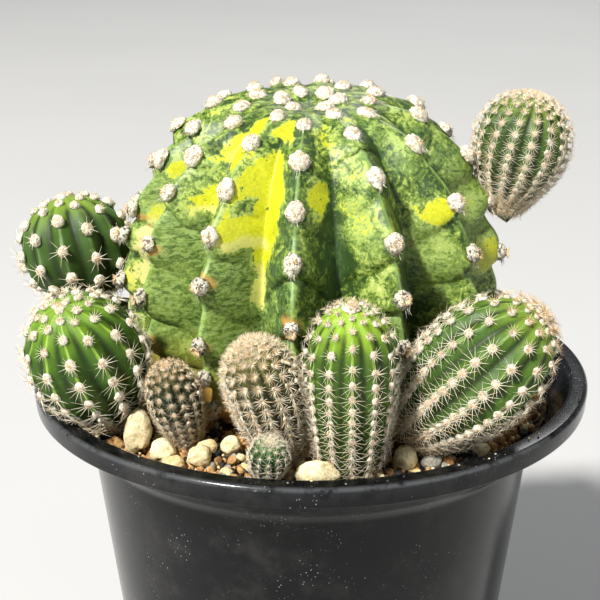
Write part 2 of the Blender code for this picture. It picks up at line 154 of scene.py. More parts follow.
def soft_step(low, high, value):
    """0 below low and 1 above high, with a smooth way between them."""
    share = np.clip((value - low) / (high - low), 0.0, 1.0)
    return share * share * (3.0 - 2.0 * share)


def unit(vectors):
    """The same vectors with length 1."""
    vectors = np.asarray(vectors, float)
    return vectors / np.maximum(np.linalg.norm(vectors, axis=-1, keepdims=True), 1e-12)


TURN = 2.0 * math.pi


def around(count):
    """Angles of so many even steps round a circle."""
    return TURN * np.arange(count) / count


def ring(turn, radius, height):
    """Points of a level ring round Z."""
    return np.stack((radius * np.cos(turn), radius * np.sin(turn), np.full(len(turn), height)), -1)


def piece(name, verts, faces, material, attributes, sharp_deg=None):
    """A new piece of the look from arrays of points and of triangles.

    attributes holds arrays with a value for each point: one number, or three for a vector.
    """
    mesh = bpy.data.meshes.new(name)
    mesh.vertices.add(len(verts))
    mesh.vertices.foreach_set("co", verts.astype(np.float32).ravel())
    mesh.loops.add(faces.size)
    mesh.loops.foreach_set("vertex_index", faces.astype(np.int32).ravel())
    mesh.polygons.add(len(faces))
    mesh.polygons.foreach_set("loop_start", np.arange(0, faces.size, 3, dtype=np.int32))
    mesh.polygons.foreach_set("use_smooth", np.full(len(faces), True))
    for key, values in attributes.items():
        kind, field = ("FLOAT", "value") if values.ndim == 1 else ("FLOAT_VECTOR", "vector")
        layer = mesh.attributes.new(key, kind, "POINT")
        layer.data.foreach_set(field, values.astype(np.float32).ravel())
    mesh.update()
    mesh.validate()
    if sharp_deg:
        mesh.set_sharp_from_angle(angle=math.radians(sharp_deg))
    mesh.materials.append(material)
    obj = bpy.data.objects.new(name, mesh)
    bpy.context.scene.collection.objects.link(obj)
    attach(obj, "root")
    return obj


def ring_faces(rows, columns):
    """Triangles of a closed skin: rows of rings, closed by one point before and one after."""
    first = np.arange(rows * columns).reshape(rows, columns)
    following = np.roll(first, -1, axis=1)
    a, b = first[:-1].ravel(), following[:-1].ravel()
    c, d = following[1:].ravel(), first[1:].ravel()
    sides = np.concatenate((np.stack((a, b, c), 1), np.stack((a, c, d), 1)))
    start, end = rows * columns, rows * columns + 1
    head = np.stack((following[0], first[0], np.full(columns, start)), 1)
    tail = np.stack((first[-1], following[-1], np.full(columns, end)), 1)
    return np.concatenate((sides, head, tail))


def lump(subdivisions):
    """Points and triangles of a unit ball made of even triangles."""
    made = bmesh.new()
    bmesh.ops.create_icosphere(made, subdivisions=subdivisions, radius=1.0)
    made.verts.ensure_lookup_table()
    verts = np.array([v.co for v in made.verts])
    faces = np.array([[v.index for v in f.verts] for f in made.faces])
    made.free()
    return verts, faces


class Batch:
    """Gathers many small closed shapes into one piece."""

    def __init__(self):
        self.verts, self.faces, self.values, self.count = [], [], {}, 0

    def add(self, verts, faces, **values):
        self.verts.append(verts)
        self.faces.append(faces + self.count)
        for key, value in values.items():
            self.values.setdefault(key, []).append(np.broadcast_to(value, len(verts)))
        self.count += len(verts)

    def make(self, name, material, slot):
        values = {key: np.concatenate(parts) for key, parts in self.values.items()}
        piece(name, np.concatenate(self.verts), np.concatenate(self.faces), material, values)


def spikes(
    base, way, length, radius, bend, sides=4, stations=(0.0, 0.4, 0.75), widths=(1.0, 0.85, 0.5)
):
    """Points, triangles and share of the length, of tapered spikes that end in a point.

    base, way and bend have one row for each spike, and length one number for each. bend is
    how far the tip is carried aside.
    """
    radius = np.broadcast_to(radius, len(base))
    count = len(base)
    helper = np.where(np.abs(way[:, 2:3]) > 0.9, (1.0, 0.0, 0.0), UP)
    side = unit(np.cross(way, helper))
    other = np.cross(side, way)
    rings = []
    for station, width in zip(stations, widths):
        centre = base + way * (length * station)[:, None] + bend * station**2
        for turn in around(sides):
            out = side * math.cos(turn) + other * math.sin(turn)
            rings.append(centre + out * (radius * width)[:, None])
    tip = base + way * length[:, None] + bend
    per = len(stations) * sides + 1
    verts = np.stack(rings + [tip], 1).reshape(-1, 3)
    tris = [(0, k + 1, k) for k in range(1, sides - 1)]
    for row in range(len(stations) - 1):
        for k in range(sides):
            a, b = row * sides + k, row * sides + (k + 1) % sides
            tris.append((a, b, b + sides))
            tris.append((a, b + sides, a + sides))
    last = (len(stations) - 1) * sides
    for k in range(sides):
        tris.append((last + k, last + (k + 1) % sides, per - 1))
    faces = (np.arange(count)[:, None, None] * per + np.array(tris)[None]).reshape(-1, 3)
    share = np.repeat(list(stations), sides).tolist() + [1.0]
    return verts, faces, np.tile(share, count)


# ---------------------------------------------------------------- materials


class Channel:
    """An output of a node. Sums, differences and products of channels are channels too."""

    def __init__(self, shader, socket):
        self.shader, self.socket = shader, socket

    def __add__(self, other):
        return self.shader.maths("ADD", self, other)

    def __sub__(self, other):
        return self.shader.maths("SUBTRACT", self, other)

    def __rsub__(self, other):
        return self.shader.maths("SUBTRACT", other, self)

    def __mul__(self, other):
        return self.shader.maths("MULTIPLY", self, other)


class Shader:
    """Writes a node material. Inputs are numbers, colours or channels."""

    def __init__(self, name):
        self.material = bpy.data.materials.new(name)
        self.material.use_nodes = True
        self.tree = self.material.node_tree
        self.surface = self.tree.nodes["Principled BSDF"].inputs
        self.place = self.node("ShaderNodeTexCoord", "Object", {})

    def put(self, socket, value):
        if isinstance(value, Channel):
            self.tree.links.new(value.socket, socket)
        else:
            socket.default_value = (*value, 1.0) if socket.type == "RGBA" else value

    def node(self, kind, output, inputs, **settings):
        made = self.tree.nodes.new(kind)
        for key, value in settings.items():
            setattr(made, key, value)
        for key, value in inputs.items():
            self.put(made.inputs[key], value)
        return Channel(self, made.outputs[output])

    def maths(self, operation, a, b, clamp=False):
        return self.node("ShaderNodeMath", 0, {0: a, 1: b}, operation=operation, use_clamp=clamp)

    def value(self, key, output="Fac"):
        """An attribute of the mesh: a number, or a vector where output says Vector."""
        return self.node("ShaderNodeAttribute", output, {}, attribute_name=key)

    def stretched(self, vector, scale):
        return self.node("ShaderNodeMapping", "Vector", {"Vector": vector, "Scale": scale})

    def noise(self, scale, detail=3.0, rough=0.55, warp=0.0, vector=None):
        inputs = {"Scale": scale, "Detail": detail, "Roughness": rough, "Distortion": warp}
        inputs["Vector"] = vector or self.place
        return self.node("ShaderNodeTexNoise", "Fac", inputs)

    def cells(self, scale, vector=None):
        inputs = {"Vector": vector or self.place, "Scale": scale}
        return self.node("ShaderNodeTexVoronoi", "Distance", inputs)

    def step(self, value, low, high):
        """0 where value is at low or beyond, 1 where it is at high or beyond."""
        inputs = {"Value": value, "From Min": low, "From Max": high}
        return self.node("ShaderNodeMapRange", "Result", inputs, interpolation_type="SMOOTHSTEP")

    def mix(self, share, a, b):
        return self.node("ShaderNodeMix", 2, {0: share, 6: a, 7: b}, data_type="RGBA")

    def over(self, colour, *layers):
        """The colour with others laid over it, each a share and a colour."""
        for share, tint in layers:
            colour = self.mix(share, colour, tint)
        return colour

    def bump(self, height, strength, distance):
        inputs = {"Height": height, "Strength": strength, "Distance": distance}
        self.put(self.surface["Normal"], self.node("ShaderNodeBump", "Normal", inputs))

    def finish(self, colour, roughness, specular=0.5):
        self.put(self.surface["Base Color"], colour)
        self.put(self.surface["Roughness"], roughness)
        self.put(self.surface["Specular IOR Level"], specular)
        return self.material


# ---------------------------------------------------------------- ribbed stems

CREASE_AT = 0.34  # of the way from one areole down to the next
CREASE_DROP = 0.70  # further down in the groove
TUBERCLE_STEP = 3.5  # millimetres that a tubercle stands out over its crease, at most
NOTCH_DEPTH = 1.0  # millimetres that a crease is cut in further, at most
GROOVE_EXTRA = 0.095  # share of the radius by which the grooves are deeper than in the CAD


def hollow(across, straight=0.45):
    """0 on a rib's crest and 1 in the groove, where across goes from 0 to 1.

    straight is the share of a plain V in the rib's shape.
    """
    rounded = (np.sqrt(across**2 + 0.0036) - 0.06) / 0.942
    return straight * rounded + (1.0 - straight) * np.sin(0.5 * math.pi * across) ** 1.35


class Ribs:
    """Where a stem's ribs and areoles are. Place counts ribs round the stem, from crest to crest."""

    def __init__(self, areoles):
        self.areoles = areoles
        self.count = len(areoles)

    def cells(self, place, station):
        """Across (0 crest to 1 groove) and how many areoles down the nearest rib a point is."""
        nearest = np.round(place).astype(int) % self.count
        across = 2.0 * np.abs(place - np.round(place))
        down = np.zeros(place.shape)
        for rib, marks in enumerate(self.areoles):
            mine = nearest == rib
            before, after = 2 * marks[0] - marks[1], 2 * marks[-1] - marks[-2]
            known = np.array((before, *marks, after), float)
            order = np.arange(-1.0, len(marks) + 1.0)
            if known[0] > known[-1]:
                known, order = known[::-1], order[::-1]
            down[mine] = np.interp(station[mine], known, order)
        return across, down

    def frame_at(self, surface, place, station, step):
        """Point, outward normal, and the direction down the rib, at one areole.

        step is how far down the rib, in stations, the next point for the slope is taken.
        """
        places = np.array((place, place, place, place - 0.12, place + 0.12))
        stations = np.array((station, station - step, station + step, station, station))
        p = surface(places, stations)
        down = unit(p[2] - p[1])
        across = unit(p[4] - p[3])
        normal = unit(np.cross(down, across))
        return p[0], normal, down


# ---------------------------------------------------------------- big stem

STEM_RIBS = Ribs(RIB_AREOLES)
STEM_CENTRE = at(*STEM_MIDDLE)
CROWN_SETTLE = 1.2  # millimetres by which the crown sinks further than in the CAD
FLAT_SIDES = 0.62  # how straight the ribs' sides are, 1 for a plain V


def creases(place, across, down):
    """Share of the way from crease to crease, distance to the nearest, and that one's strength."""
    sway = 0.16 * smooth_noise(np.stack((place * 3.0, down * 2.0, across), -1), 5)
    height = down - CREASE_AT - CREASE_DROP * across + sway
    rib = np.round(place).astype(int) % STEM_RIBS.count
    nearest = np.round(height).astype(int)
    strength = soft_step(0.42, 0.95, lattice(rib, nearest, 0, 21)) * soft_step(0.3, 1.4, down)
    strength = strength * (1.0 - 0.6 * soft_step(4.0, 5.5, down))
    return height % 1.0, np.abs(height - nearest), strength


def rib_turn(place):
    """Angle round the stem of a place, in radians, 0 at the front."""
    turns = (*RIB_AZIMUTHS_DEG, RIB_AZIMUTHS_DEG[0] + 360.0)
    return np.radians(np.interp(place % STEM_RIBS.count, np.arange(len(turns)), turns))


def stem_surface(place, polar_deg):
    """Points of the big stem's skin, for arrays of places and polar angles."""
    wrapped = place % STEM_RIBS.count
    turn = rib_turn(place)
    polar = np.radians(polar_deg)
    fullness = np.where(polar_deg < 90.0, STEM_SHOULDER, STEM_WAIST)
    radius = STEM_RADIUS * np.sin(polar) ** fullness
    height = STEM_HALF_HEIGHT * np.cos(polar)
    height = height - STEM_CROWN_SINK * np.exp(-((radius / (0.17 * STEM_RADIUS)) ** 2))
    depth = RIB_DEPTH * (1.0 - 0.45 * np.clip((polar_deg - 95.0) / 30.0, 0.0, 1.0))
    across, down = STEM_RIBS.cells(wrapped, polar_deg)
    reach = radius * (1.0 - (depth + GROOVE_EXTRA * np.sin(polar)) * hollow(across, FLAT_SIDES))
    fraction, edge, strength = creases(wrapped, across, down)
    chin = np.sin(math.pi * fraction**1.6)
    swell = TUBERCLE_STEP * (0.60 + 0.40 * strength) * (chin - 0.72) * (1.0 - across) ** 0.8
    swell = swell - NOTCH_DEPTH * strength * np.exp(-((edge / 0.035) ** 2)) * (1.0 - across) ** 0.5
    swell = swell + 0.5 * np.sin(math.pi * fraction) * np.sin(math.pi * across)
    spots = np.stack((np.sin(turn) * radius, np.cos(turn) * radius, height), -1)
    swell = swell + 0.5 * smooth_noise(spots / 14.0, 3) + 0.22 * smooth_noise(spots / 4.0, 4)
    reach = reach + swell * np.sqrt(np.sin(polar))
    height = height - CROWN_SETTLE * soft_step(36.0, 10.0, polar_deg)
    lean = np.radians(STEM_LEAN_DEG) * (1.0 - np.clip((polar_deg - 60.0) / 50.0, 0.0, 1.0))
    y = -reach * np.cos(turn)
    leant_y = y * np.cos(lean) - height * np.sin(lean)
    leant_z = y * np.sin(lean) + height * np.cos(lean)
    return STEM_CENTRE + np.stack((reach * np.sin(turn), leant_y, leant_z), -1) * MM


STEM_FIRST_POLAR = 3.0
# Where the skin ends in the soil, a collar goes on inward and down: share of the way to its
# radius, and the drop, in metres
STEM_COLLAR_RADIUS = 0.030
STEM_COLLAR = ((0.45, 0.0018), (1.0, 0.0026), (1.0, 0.0086))
STEM_COLUMNS_PER_RIB = 28
STEM_ROWS = 262

# Patches on the skin: place, polar angle, half sizes of each, strength. A later one covers an
# earlier one. Places 0 to 6 face the front, read off the plant; the rest go on in the same way.
YELLOW_BASE = 0.29
PATCHES = {}
PATCHES["yellow"] = (
    (0.4, 33, 0.16, 6, 0.6),
    (0.32, 48.5, 0.14, 3.5, 1),
    (0.28, 64, 0.12, 5, 1),
    (0.24, 76, 0.13, 6, 0.9),
    (0.18, 86, 0.12, 5, 0.8),
    (1.72, 23, 0.3, 5, 1),
    (1.28, 30, 0.15, 4, 0.1),
    (1.66, 33.5, 0.42, 6.5, 1),
    (1.52, 45, 0.42, 4.5, 0.52),
    (1.52, 54, 0.36, 5, 0.95),
    (1.78, 61, 0.22, 4, 0.7),
    (1.3, 67, 0.4, 6, 0.1),
    (1.78, 74, 0.2, 7, 0.75),
    (2.52, 22, 0.32, 6, 0.95),
    (2.4, 34, 0.2, 6.5, 0.3),
    (2.46, 49, 0.4, 15, 1),
    (2.22, 51.5, 0.14, 2.4, 0.35),
    (2.26, 59.5, 0.26, 4.5, 1),
    (2.5, 72, 0.12, 14, 1),
    (2.15, 74, 0.24, 10, 0.08),
    (2.9, 46, 0.12, 44, 0.1),
    (2.84, 76, 0.2, 16, 0.12),
    (3.44, 27, 0.28, 8, 0.66),
    (3.16, 24, 0.1, 9, 0.2),
    (3.26, 46, 0.15, 6, 0.95),
    (3.72, 36, 0.22, 9, 0.56),
    (3.74, 54, 0.2, 6, 0.64),
    (3.45, 66, 0.14, 14, 0.05),
    (3.88, 70, 0.12, 5.5, 0.55),
    (4.3, 18, 0.22, 3, 0.6),
    (4.25, 33, 0.24, 9, 0.12),
    (4.72, 36, 0.2, 10, 0.42),
    (4.6, 57, 0.18, 4.5, 0.6),
    (4.83, 56.5, 0.14, 3.8, 1),
    (4.66, 67, 0.22, 5, 0.54),
    (4.25, 78, 0.22, 13, 0.05),
    (5.28, 21, 0.26, 6, 0.56),
    (5.72, 27, 0.2, 6, 0.5),
    (5.8, 65, 0.18, 5, 0.58),
    (5.86, 82, 0.16, 6, 0.8),
    (7.4, 35, 0.3, 12, 0.85),
    (8.6, 58, 0.3, 15, 0.95),
    (9.5, 30, 0.3, 9, 0.7),
    (10.4, 64, 0.28, 13, 0.95),
    (11.5, 38, 0.36, 12, 0.9),
    (12.5, 62, 0.22, 15, 0.8),
    (12.4, 28, 0.25, 6, 0.6),
)
PATCHES["cream"] = (
    (0.24, 78, 0.16, 12, 0.9),
    (1.5, 60, 0.4, 3.5, 0.6),
    (1.8, 74, 0.24, 8, 1),
    (2.28, 62, 0.24, 3.5, 0.6),
    (2.48, 80, 0.14, 8, 0.6),
    (3.88, 70, 0.12, 5.5, 0.8),
    (4.66, 67, 0.22, 5, 0.5),
    (10.3, 72, 0.25, 9, 0.8),
    (8.5, 70, 0.25, 8, 0.7),
)
# Dark patches: partly the skin's dark green blotches, partly painted shade along the deeper grooves.
PATCHES["dark"] = (
    (1.3, 31, 0.16, 4, 0.9),
    (2.4, 34, 0.2, 6.5, 0.8),
    (3.2, 27, 0.2, 10, 0.7),
    (3.4, 62, 0.24, 20, 0.8),
    (4.25, 32, 0.26, 10, 0.9),
    (4.25, 76, 0.26, 18, 1),
    (5.2, 50, 0.3, 30, 0.7),
    (7.5, 70, 0.5, 30, 0.6),
    (9.5, 60, 0.5, 30, 0.7),
)
PATCHES["pale"] = (
    (0.2, 57, 0.3, 6, 0.8),
    (1.2, 66, 0.35, 7, 0.9),
    (1.3, 84, 0.65, 15, 0.8),
    (1.75, 68, 0.25, 6, 0.9),
    (2.17, 74, 0.24, 10, 0.85),
    (2.25, 92, 0.5, 12, 0.8),
    (3.75, 58, 0.2, 8, 0.5),
    (4.66, 72, 0.25, 12, 0.6),
    (5.8, 70, 0.25, 20, 0.6),
    (11, 75, 0.6, 14, 0.8),
    (8, 80, 0.5, 12, 0.7),
)
PATCHES["glaucous"] = (
    (0.3, 41, 0.34, 6, 0.8),
    (1.22, 42, 0.2, 6, 0.7),
    (1.1, 56, 0.2, 5, 0.7),
    (2.14, 24, 0.14, 7, 0.6),
    (2.9, 50, 0.13, 36, 0.8),
    (2.8, 76, 0.2, 12, 0.8),
    (3.42, 68, 0.12, 12, 0.45),
    (3.9, 26, 0.12, 12, 0.6),
    (3.9, 44, 0.12, 6, 0.5),
    (4.72, 32, 0.22, 16, 0.75),
    (5.7, 40, 0.24, 10, 0.8),
    (6.8, 50, 0.25, 20, 0.6),
    (9.1, 45, 0.25, 20, 0.7),
    (10.9, 40, 0.2, 15, 0.7),
)
PATCHES["cork"] = (
    (2, 73, 0.1, 2.6, 0.9),
    (2, 95, 0.07, 2, 0.6),
    (3, 82, 0.11, 3.2, 1),
    (1.02, 69.5, 0.09, 2.2, 0.8),
    (0.1, 66, 0.08, 2.2, 0.8),
    (1.02, 102, 0.08, 2.4, 0.9),
    (7.98, 67, 0.09, 2.6, 0.8),
    (11, 84, 0.1, 3, 0.8),
)


def painted(place, polar, patches, base):
    """How strong the patches are at these points, with uneven edges."""
    spots = np.stack((place * 5.0, polar / 5.0, place * 0.0), -1)
    place = place + 0.09 * rough_noise(spots, 41)
    polar = polar + 4.0 * rough_noise(spots, 43)
    total = np.full(np.shape(place), base)
    half_turn = 0.5 * STEM_RIBS.count
    for centre, middle, half_place, half_polar, strength in patches:
        around = (place - centre + half_turn) % STEM_RIBS.count - half_turn
        reach = (around / half_place) ** 2 + ((polar - middle) / half_polar) ** 2
        share = soft_step(1.9, 0.4, reach)
        total = total * (1.0 - share) + strength * share
    return total


def stem_skin():
    made = Shader("variegated_skin")
    coords = made.value("coords", "Vector")
    yellow = made.value("yellow")
    pale = made.value("pale")
    streaks = made.noise(300.0, 6.0, 0.64, 0.9)
    fine = made.noise(1250.0, 4.0, 0.62, 0.5)
    lengthwise = made.noise(1.1, 4.0, 0.6, 0.5, made.stretched(coords, (1.6, 0.35, 1.0)))
    squiggle = made.noise(0.60, 6.0, 0.70, 0.9, made.stretched(coords, (1.0, 1.5, 1.0)))
    blot = made.step(made.noise(0.62, 4.0, 0.6, 0.5, coords), 0.63, 0.68)
    calm = 1.0 - pale * 0.6
    marbling = (streaks - 0.5) * 2.8 * calm
    flecks = (fine - 0.5) * 1.5
    # The dark attribute darkens the green: the skin's dark blotches and painted shade in the grooves.
    shaded = yellow + marbling + flecks - made.value("dark") * 0.22 - blot * calm * 0.5
    green = made.over(
        made.mix(made.step(shaded, 0.0, 0.30), (0.022, 0.052, 0.008), (0.120, 0.190, 0.024)),
        (made.step(shaded, 0.34, 0.66) * 0.80, (0.40, 0.50, 0.12)),
        (pale * 0.35, (0.13, 0.22, 0.040)),
        (made.value("glaucous") * made.step(lengthwise, 0.38, 0.62) * 0.42, (0.17, 0.29, 0.12)),
    )
    gold = made.over(
        made.mix(made.step(fine, 0.3, 0.7), (0.40, 0.43, 0.008), (0.56, 0.56, 0.020)),
        (made.value("cream") * 0.85, (0.66, 0.63, 0.28)),
    )
    ripe = yellow - blot * 0.4 + (marbling + flecks) * 0.42
    specks = made.step(made.cells(1.1, coords), 0.12, 0.06)
    keep = made.step(made.noise(0.35, 2.0, vector=coords), 0.46, 0.60)
    colour = made.over(
        made.mix(made.step(ripe, 0.66, 0.76), green, gold),
        (pale * made.step(squiggle, 0.45, 0.58) * 0.70, (0.35, 0.47, 0.14)),
        (made.value("crest"), (0.26, 0.40, 0.11)),
        (specks * (keep * 0.6), (0.62, 0.68, 0.50)),
        (made.value("old") * 0.6, (0.22, 0.21, 0.035)),
        (made.value("cork"), (0.48, 0.27, 0.07)),
    )
    made.bump(fine * 0.5 + streaks * 0.8, 0.35, 0.0004)
    return made.finish(colour, fine * 0.16 + 0.36, 0.40)


def build_stem():
    columns = STEM_RIBS.count * STEM_COLUMNS_PER_RIB
    place = np.arange(columns) / STEM_COLUMNS_PER_RIB
    share = np.linspace(0.0, 1.0, STEM_ROWS) ** 1.04
    polar = STEM_FIRST_POLAR + (STEM_LAST_POLAR - STEM_FIRST_POLAR) * share
    places, polars = np.meshgrid(place, polar)
    rings = stem_surface(places, polars)
    across, down = STEM_RIBS.cells(places, polars)
    fraction, _, strength = creases(places, across, down)
    coords = np.stack((rib_turn(places), np.radians(polars), places * 0.0), -1) * STEM_RADIUS
    wide = 0.035 + 0.16 * strength * soft_step(0.30, 0.0, fraction)
    values = {"coords": coords, "crest": 0.6 * soft_step(1.3, 0.7, across / wide)}
    values["old"] = soft_step(96.0, 112.0, polars + 6.0 * rough_noise(coords / 9.0, 61))
    for key, patches in PATCHES.items():
        values[key] = painted(places, polars, patches, YELLOW_BASE if key == "yellow" else 0.0)
    # Painted shade: the skin gets darker towards the bottom of every groove.
    values["dark"] = values["dark"] + 1.1 * soft_step(0.55, 1.0, across)
    values["cork"] = np.maximum(values["cork"], 0.8 * soft_step(110.0, 120.0, polars))
    foot = rings[-1]
    out = foot[:, :2] - STEM_CENTRE[:2]
    reach = np.hypot(out[:, :1], out[:, 1:])
    collar = []
    for share, drop in STEM_COLLAR:
        flat = STEM_CENTRE[:2] + out / reach * (reach + (STEM_COLLAR_RADIUS - reach) * share)
        collar.append(np.column_stack((flat, np.full(columns, foot[:, 2].mean() - drop))))
    ends = np.stack((rings[0].mean(0), collar[-1].mean(0)))
    verts = np.concatenate((rings.reshape(-1, 3), *collar, ends))
    for key, value in values.items():
        ends = np.stack((value[0].mean(0), value[-1].mean(0)))
        flat = value.reshape(-1, *value.shape[2:])
        values[key] = np.concatenate((flat, *[value[-1]] * len(STEM_COLLAR), ends))
    faces = ring_faces(STEM_ROWS + len(STEM_COLLAR), columns)
    stem = piece("main_stem_skin", verts, faces, stem_skin(), values)
    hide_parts("main_stem")


# ---------------------------------------------------------------- wool and spines


def wool():
    made = Shader("areole_wool")
    age = made.value("age")
    curl = made.noise(900.0, 4.0, 0.7)
    flecks = made.step(made.noise(1150.0, 3.0, 0.6), 0.53, 0.57)
    darkened = made.maths("MULTIPLY", age, 1.4, clamp=True)
    fleck = made.mix(darkened, (0.42, 0.27, 0.12), (0.045, 0.040, 0.038))
    colour = made.over(
        made.mix(made.value("tone"), (0.76, 0.71, 0.54), (0.92, 0.89, 0.76)),
        (made.value("core") * 0.85, (0.70, 0.38, 0.20)),
        (age * 0.35, (0.46, 0.38, 0.29)),
        # Painted shade: browner where the curls' bump is low, in the wool's hollows.
        (made.step(curl, 0.48, 0.34), (0.42, 0.33, 0.20)),
        (flecks * (age * 0.30 + 0.65), fleck),
    )
    made.bump(curl, 1.0, 0.0009)
    return made.finish(colour, 0.95)


def spine_look():
    made = Shader("spines")
    tone = made.value("tone")
    brown = made.value("brown")
    tan = made.mix(tone, (0.68, 0.40, 0.15), (0.92, 0.66, 0.36))
    tip = made.step(made.value("share"), 0.55, 1.0) * (brown * 0.5 + 0.25)
    colour = made.over(
        made.mix(tone, (0.90, 0.80, 0.58), (0.98, 0.94, 0.80)),
        (brown, tan),
        (tip, (0.20, 0.09, 0.04)),
    )
    return made.finish(colour, 0.42)


LUMPS = {level: lump(level) for level in (1, 2, 3, 4)}
HALVED = np.array((0.5, 0.5, 1.0))

# Below, a seat is an areole's middle, the way out of the skin and the way down the rib. A
# cushion's size is its width, length and height. Lengths are in millimetres.


def add_tuft(batch, seat, size, level, chance, age=0.0, core_share=0.5):
    """A lumpy cushion of wool. level says how fine its mesh is."""
    spot, normal, down = seat
    shape, faces = LUMPS[level]
    seed = chance.uniform(0.0, 100.0, 3)
    local = shape * (1.0 + 0.13 * smooth_noise(shape * 2.1 + seed)[:, None])
    local = local * (1.0 + 0.16 * smooth_noise(shape * 6.5 + seed)[:, None])
    local[:, 2] = np.maximum(local[:, 2], -0.3)
    core = soft_step(0.75, 0.15, np.hypot(shape[:, 0], shape[:, 1])) * (shape[:, 2] > 0.0)
    x, y, z = (local * (size * HALVED)).T[..., None]
    verts = spot + (np.cross(normal, down) * x + down * y + normal * z) * MM
    core = core * core_share * chance.uniform(0.6, 1.2)
    batch.add(verts, faces, tone=chance.uniform(0.3, 1.0), core=core, age=age)


def add_fibres(batch, seat, size, count, chance, age, reach):
    """Fine curved hairs that stand out of a cushion of wool."""
    spot, normal, down = seat
    ways = unit(chance.normal(size=(count, 3)))
    ways[:, 2] = np.abs(ways[:, 2]) * 0.9 + 0.05
    ways = unit(ways)
    to_world = np.stack((np.cross(normal, down), down, normal))
    base = spot + (ways * (size * HALVED) * 0.86) @ to_world * MM
    way = unit(ways @ to_world + 0.5 * chance.normal(size=(count, 3)))
    lengths = chance.uniform(0.4, 1.3, count) * reach * MM
    bend = chance.normal(size=(count, 3)) * lengths[:, None] * 0.35
    radii = chance.uniform(0.04, 0.075, count) * MM
    verts, faces, _ = spikes(base, way, lengths, radii, bend, 3, (0.0, 0.5), (1.0, 0.7))
    tone = np.repeat(chance.uniform(0.3, 1.0, count), len(verts) // count)
    batch.add(verts, faces, tone=tone, core=0.0, age=age)


def add_spines(batch, seat, count, length, radius, lift, chance, brown, from_below, root):
    """Spines that spread from one areole. lift is 0 flat on the skin and 1 halfway up."""
    spot, normal, down = seat
    turn = np.arange(count) + chance.uniform(0.0, 1.0) + chance.normal(size=count) * 0.12
    turn = TURN * turn / count
    rise = np.clip(lift + chance.normal(size=count) * 0.10, 0.02, 1.4)
    flat = np.cross(normal, down) * np.sin(turn)[:, None]
    flat = flat + down * (np.cos(turn) + from_below)[:, None]
    way = unit(flat + normal * rise[:, None])
    lengths = length * chance.uniform(0.72, 1.12, count) * MM
    base = spot + flat * 0.3 * root * MM + normal * root * MM
    bend = -normal * (lengths * chance.uniform(-0.05, 0.12, count))[:, None]
    radii = radius * chance.uniform(0.8, 1.15, count) * MM
    verts, faces, share = spikes(base, way, lengths, radii, bend)
    per = len(verts) // count
    tone = np.repeat(chance.uniform(0.0, 1.0, count), per)
    shade = np.repeat(np.clip(brown + chance.normal(size=count) * 0.28, 0.0, 1.0), per)
    batch.add(verts, faces, share=share, tone=tone, brown=shade)


# The big stem's cushions: smallest and largest width, length and height, width of those in
# the middle of the crown, and numbers of hairs
CUSHION_WIDTHS = (4.3, 5.1)
CUSHION_LENGTHS = (4.9, 6.0)
CUSHION_HEIGHTS = (1.7, 2.3)
CROWN_WIDTHS = (4.4, 5.4)
STEM_HAIRS = 170
TAIL_HAIRS = 7
CROWN_HAIRS = 90


def dress_stem(wool_material, spine_material):
    """The big stem's areoles: a cushion of wool on each, with a few short dark spines."""
    for rib, marks in enumerate(RIB_AREOLES):
        chance = np.random.default_rng(STEM_SEED + rib)
        cushions, tips = Batch(), Batch()
        for polar in marks:
            spot, normal, down = STEM_RIBS.frame_at(stem_surface, rib, polar, 1.5)
            age = soft_step(40.0, 88.0, polar)
            young = soft_step(34.0, 12.0, polar)
            width = chance.uniform(*CUSHION_WIDTHS) * (1.0 - 0.12 * young - 0.18 * age)
            length = chance.uniform(*CUSHION_LENGTHS) * (1.0 - 0.12 * young - 0.18 * age)
            height = chance.uniform(*CUSHION_HEIGHTS) * (1.0 - 0.2 * young)
            spot = spot - normal * 0.2 * MM
            seat, size = (spot, normal, down), (width, length, height)
            add_tuft(cushions, seat, size, 3, chance, age, 0.25 * (1.0 - age))
            add_fibres(cushions, seat, size, STEM_HAIRS, chance, age, 0.6)
            tail = spot + down * 0.42 * length * MM + normal * 0.6 * MM
            tail_way = np.tile(unit(down * 0.9 - UP * 0.5 + normal * 0.25), (TAIL_HAIRS, 1))
            spread = chance.normal(size=(TAIL_HAIRS, 3)) * 0.35 * MM
            lengths = chance.uniform(0.8, 1.9, TAIL_HAIRS) * MM
            verts, faces, _ = spikes(tail + spread, tail_way, lengths, 0.09 * MM, spread, 3)
            cushions.add(verts, faces, tone=0.8, core=0.0, age=age)
            count, reach = int(7 + 14 * age), 1.3 + 0.6 * age
            add_spines(tips, seat, count, reach, 0.15, 1.2, chance, 1.0, 0.3, 0.72 * height)
        if rib % 2 == 0:
            place = rib + chance.uniform(-0.2, 0.2)
            seat = STEM_RIBS.frame_at(stem_surface, place, 6.0, 1.0)
            width = chance.uniform(*CROWN_WIDTHS)
            size = (width, width, 0.4 * width)
            add_tuft(cushions, seat, size, 3, chance)
            add_fibres(cushions, seat, size, CROWN_HAIRS, chance, 0.0, 0.6)
        cushions.make("areole_wool_rib_%02d" % rib, wool_material, "areole_wool")
        tips.make("areole_spines_rib_%02d" % rib, spine_material, "spines")


# ---------------------------------------------------------------- offsets

ON_SOIL = None

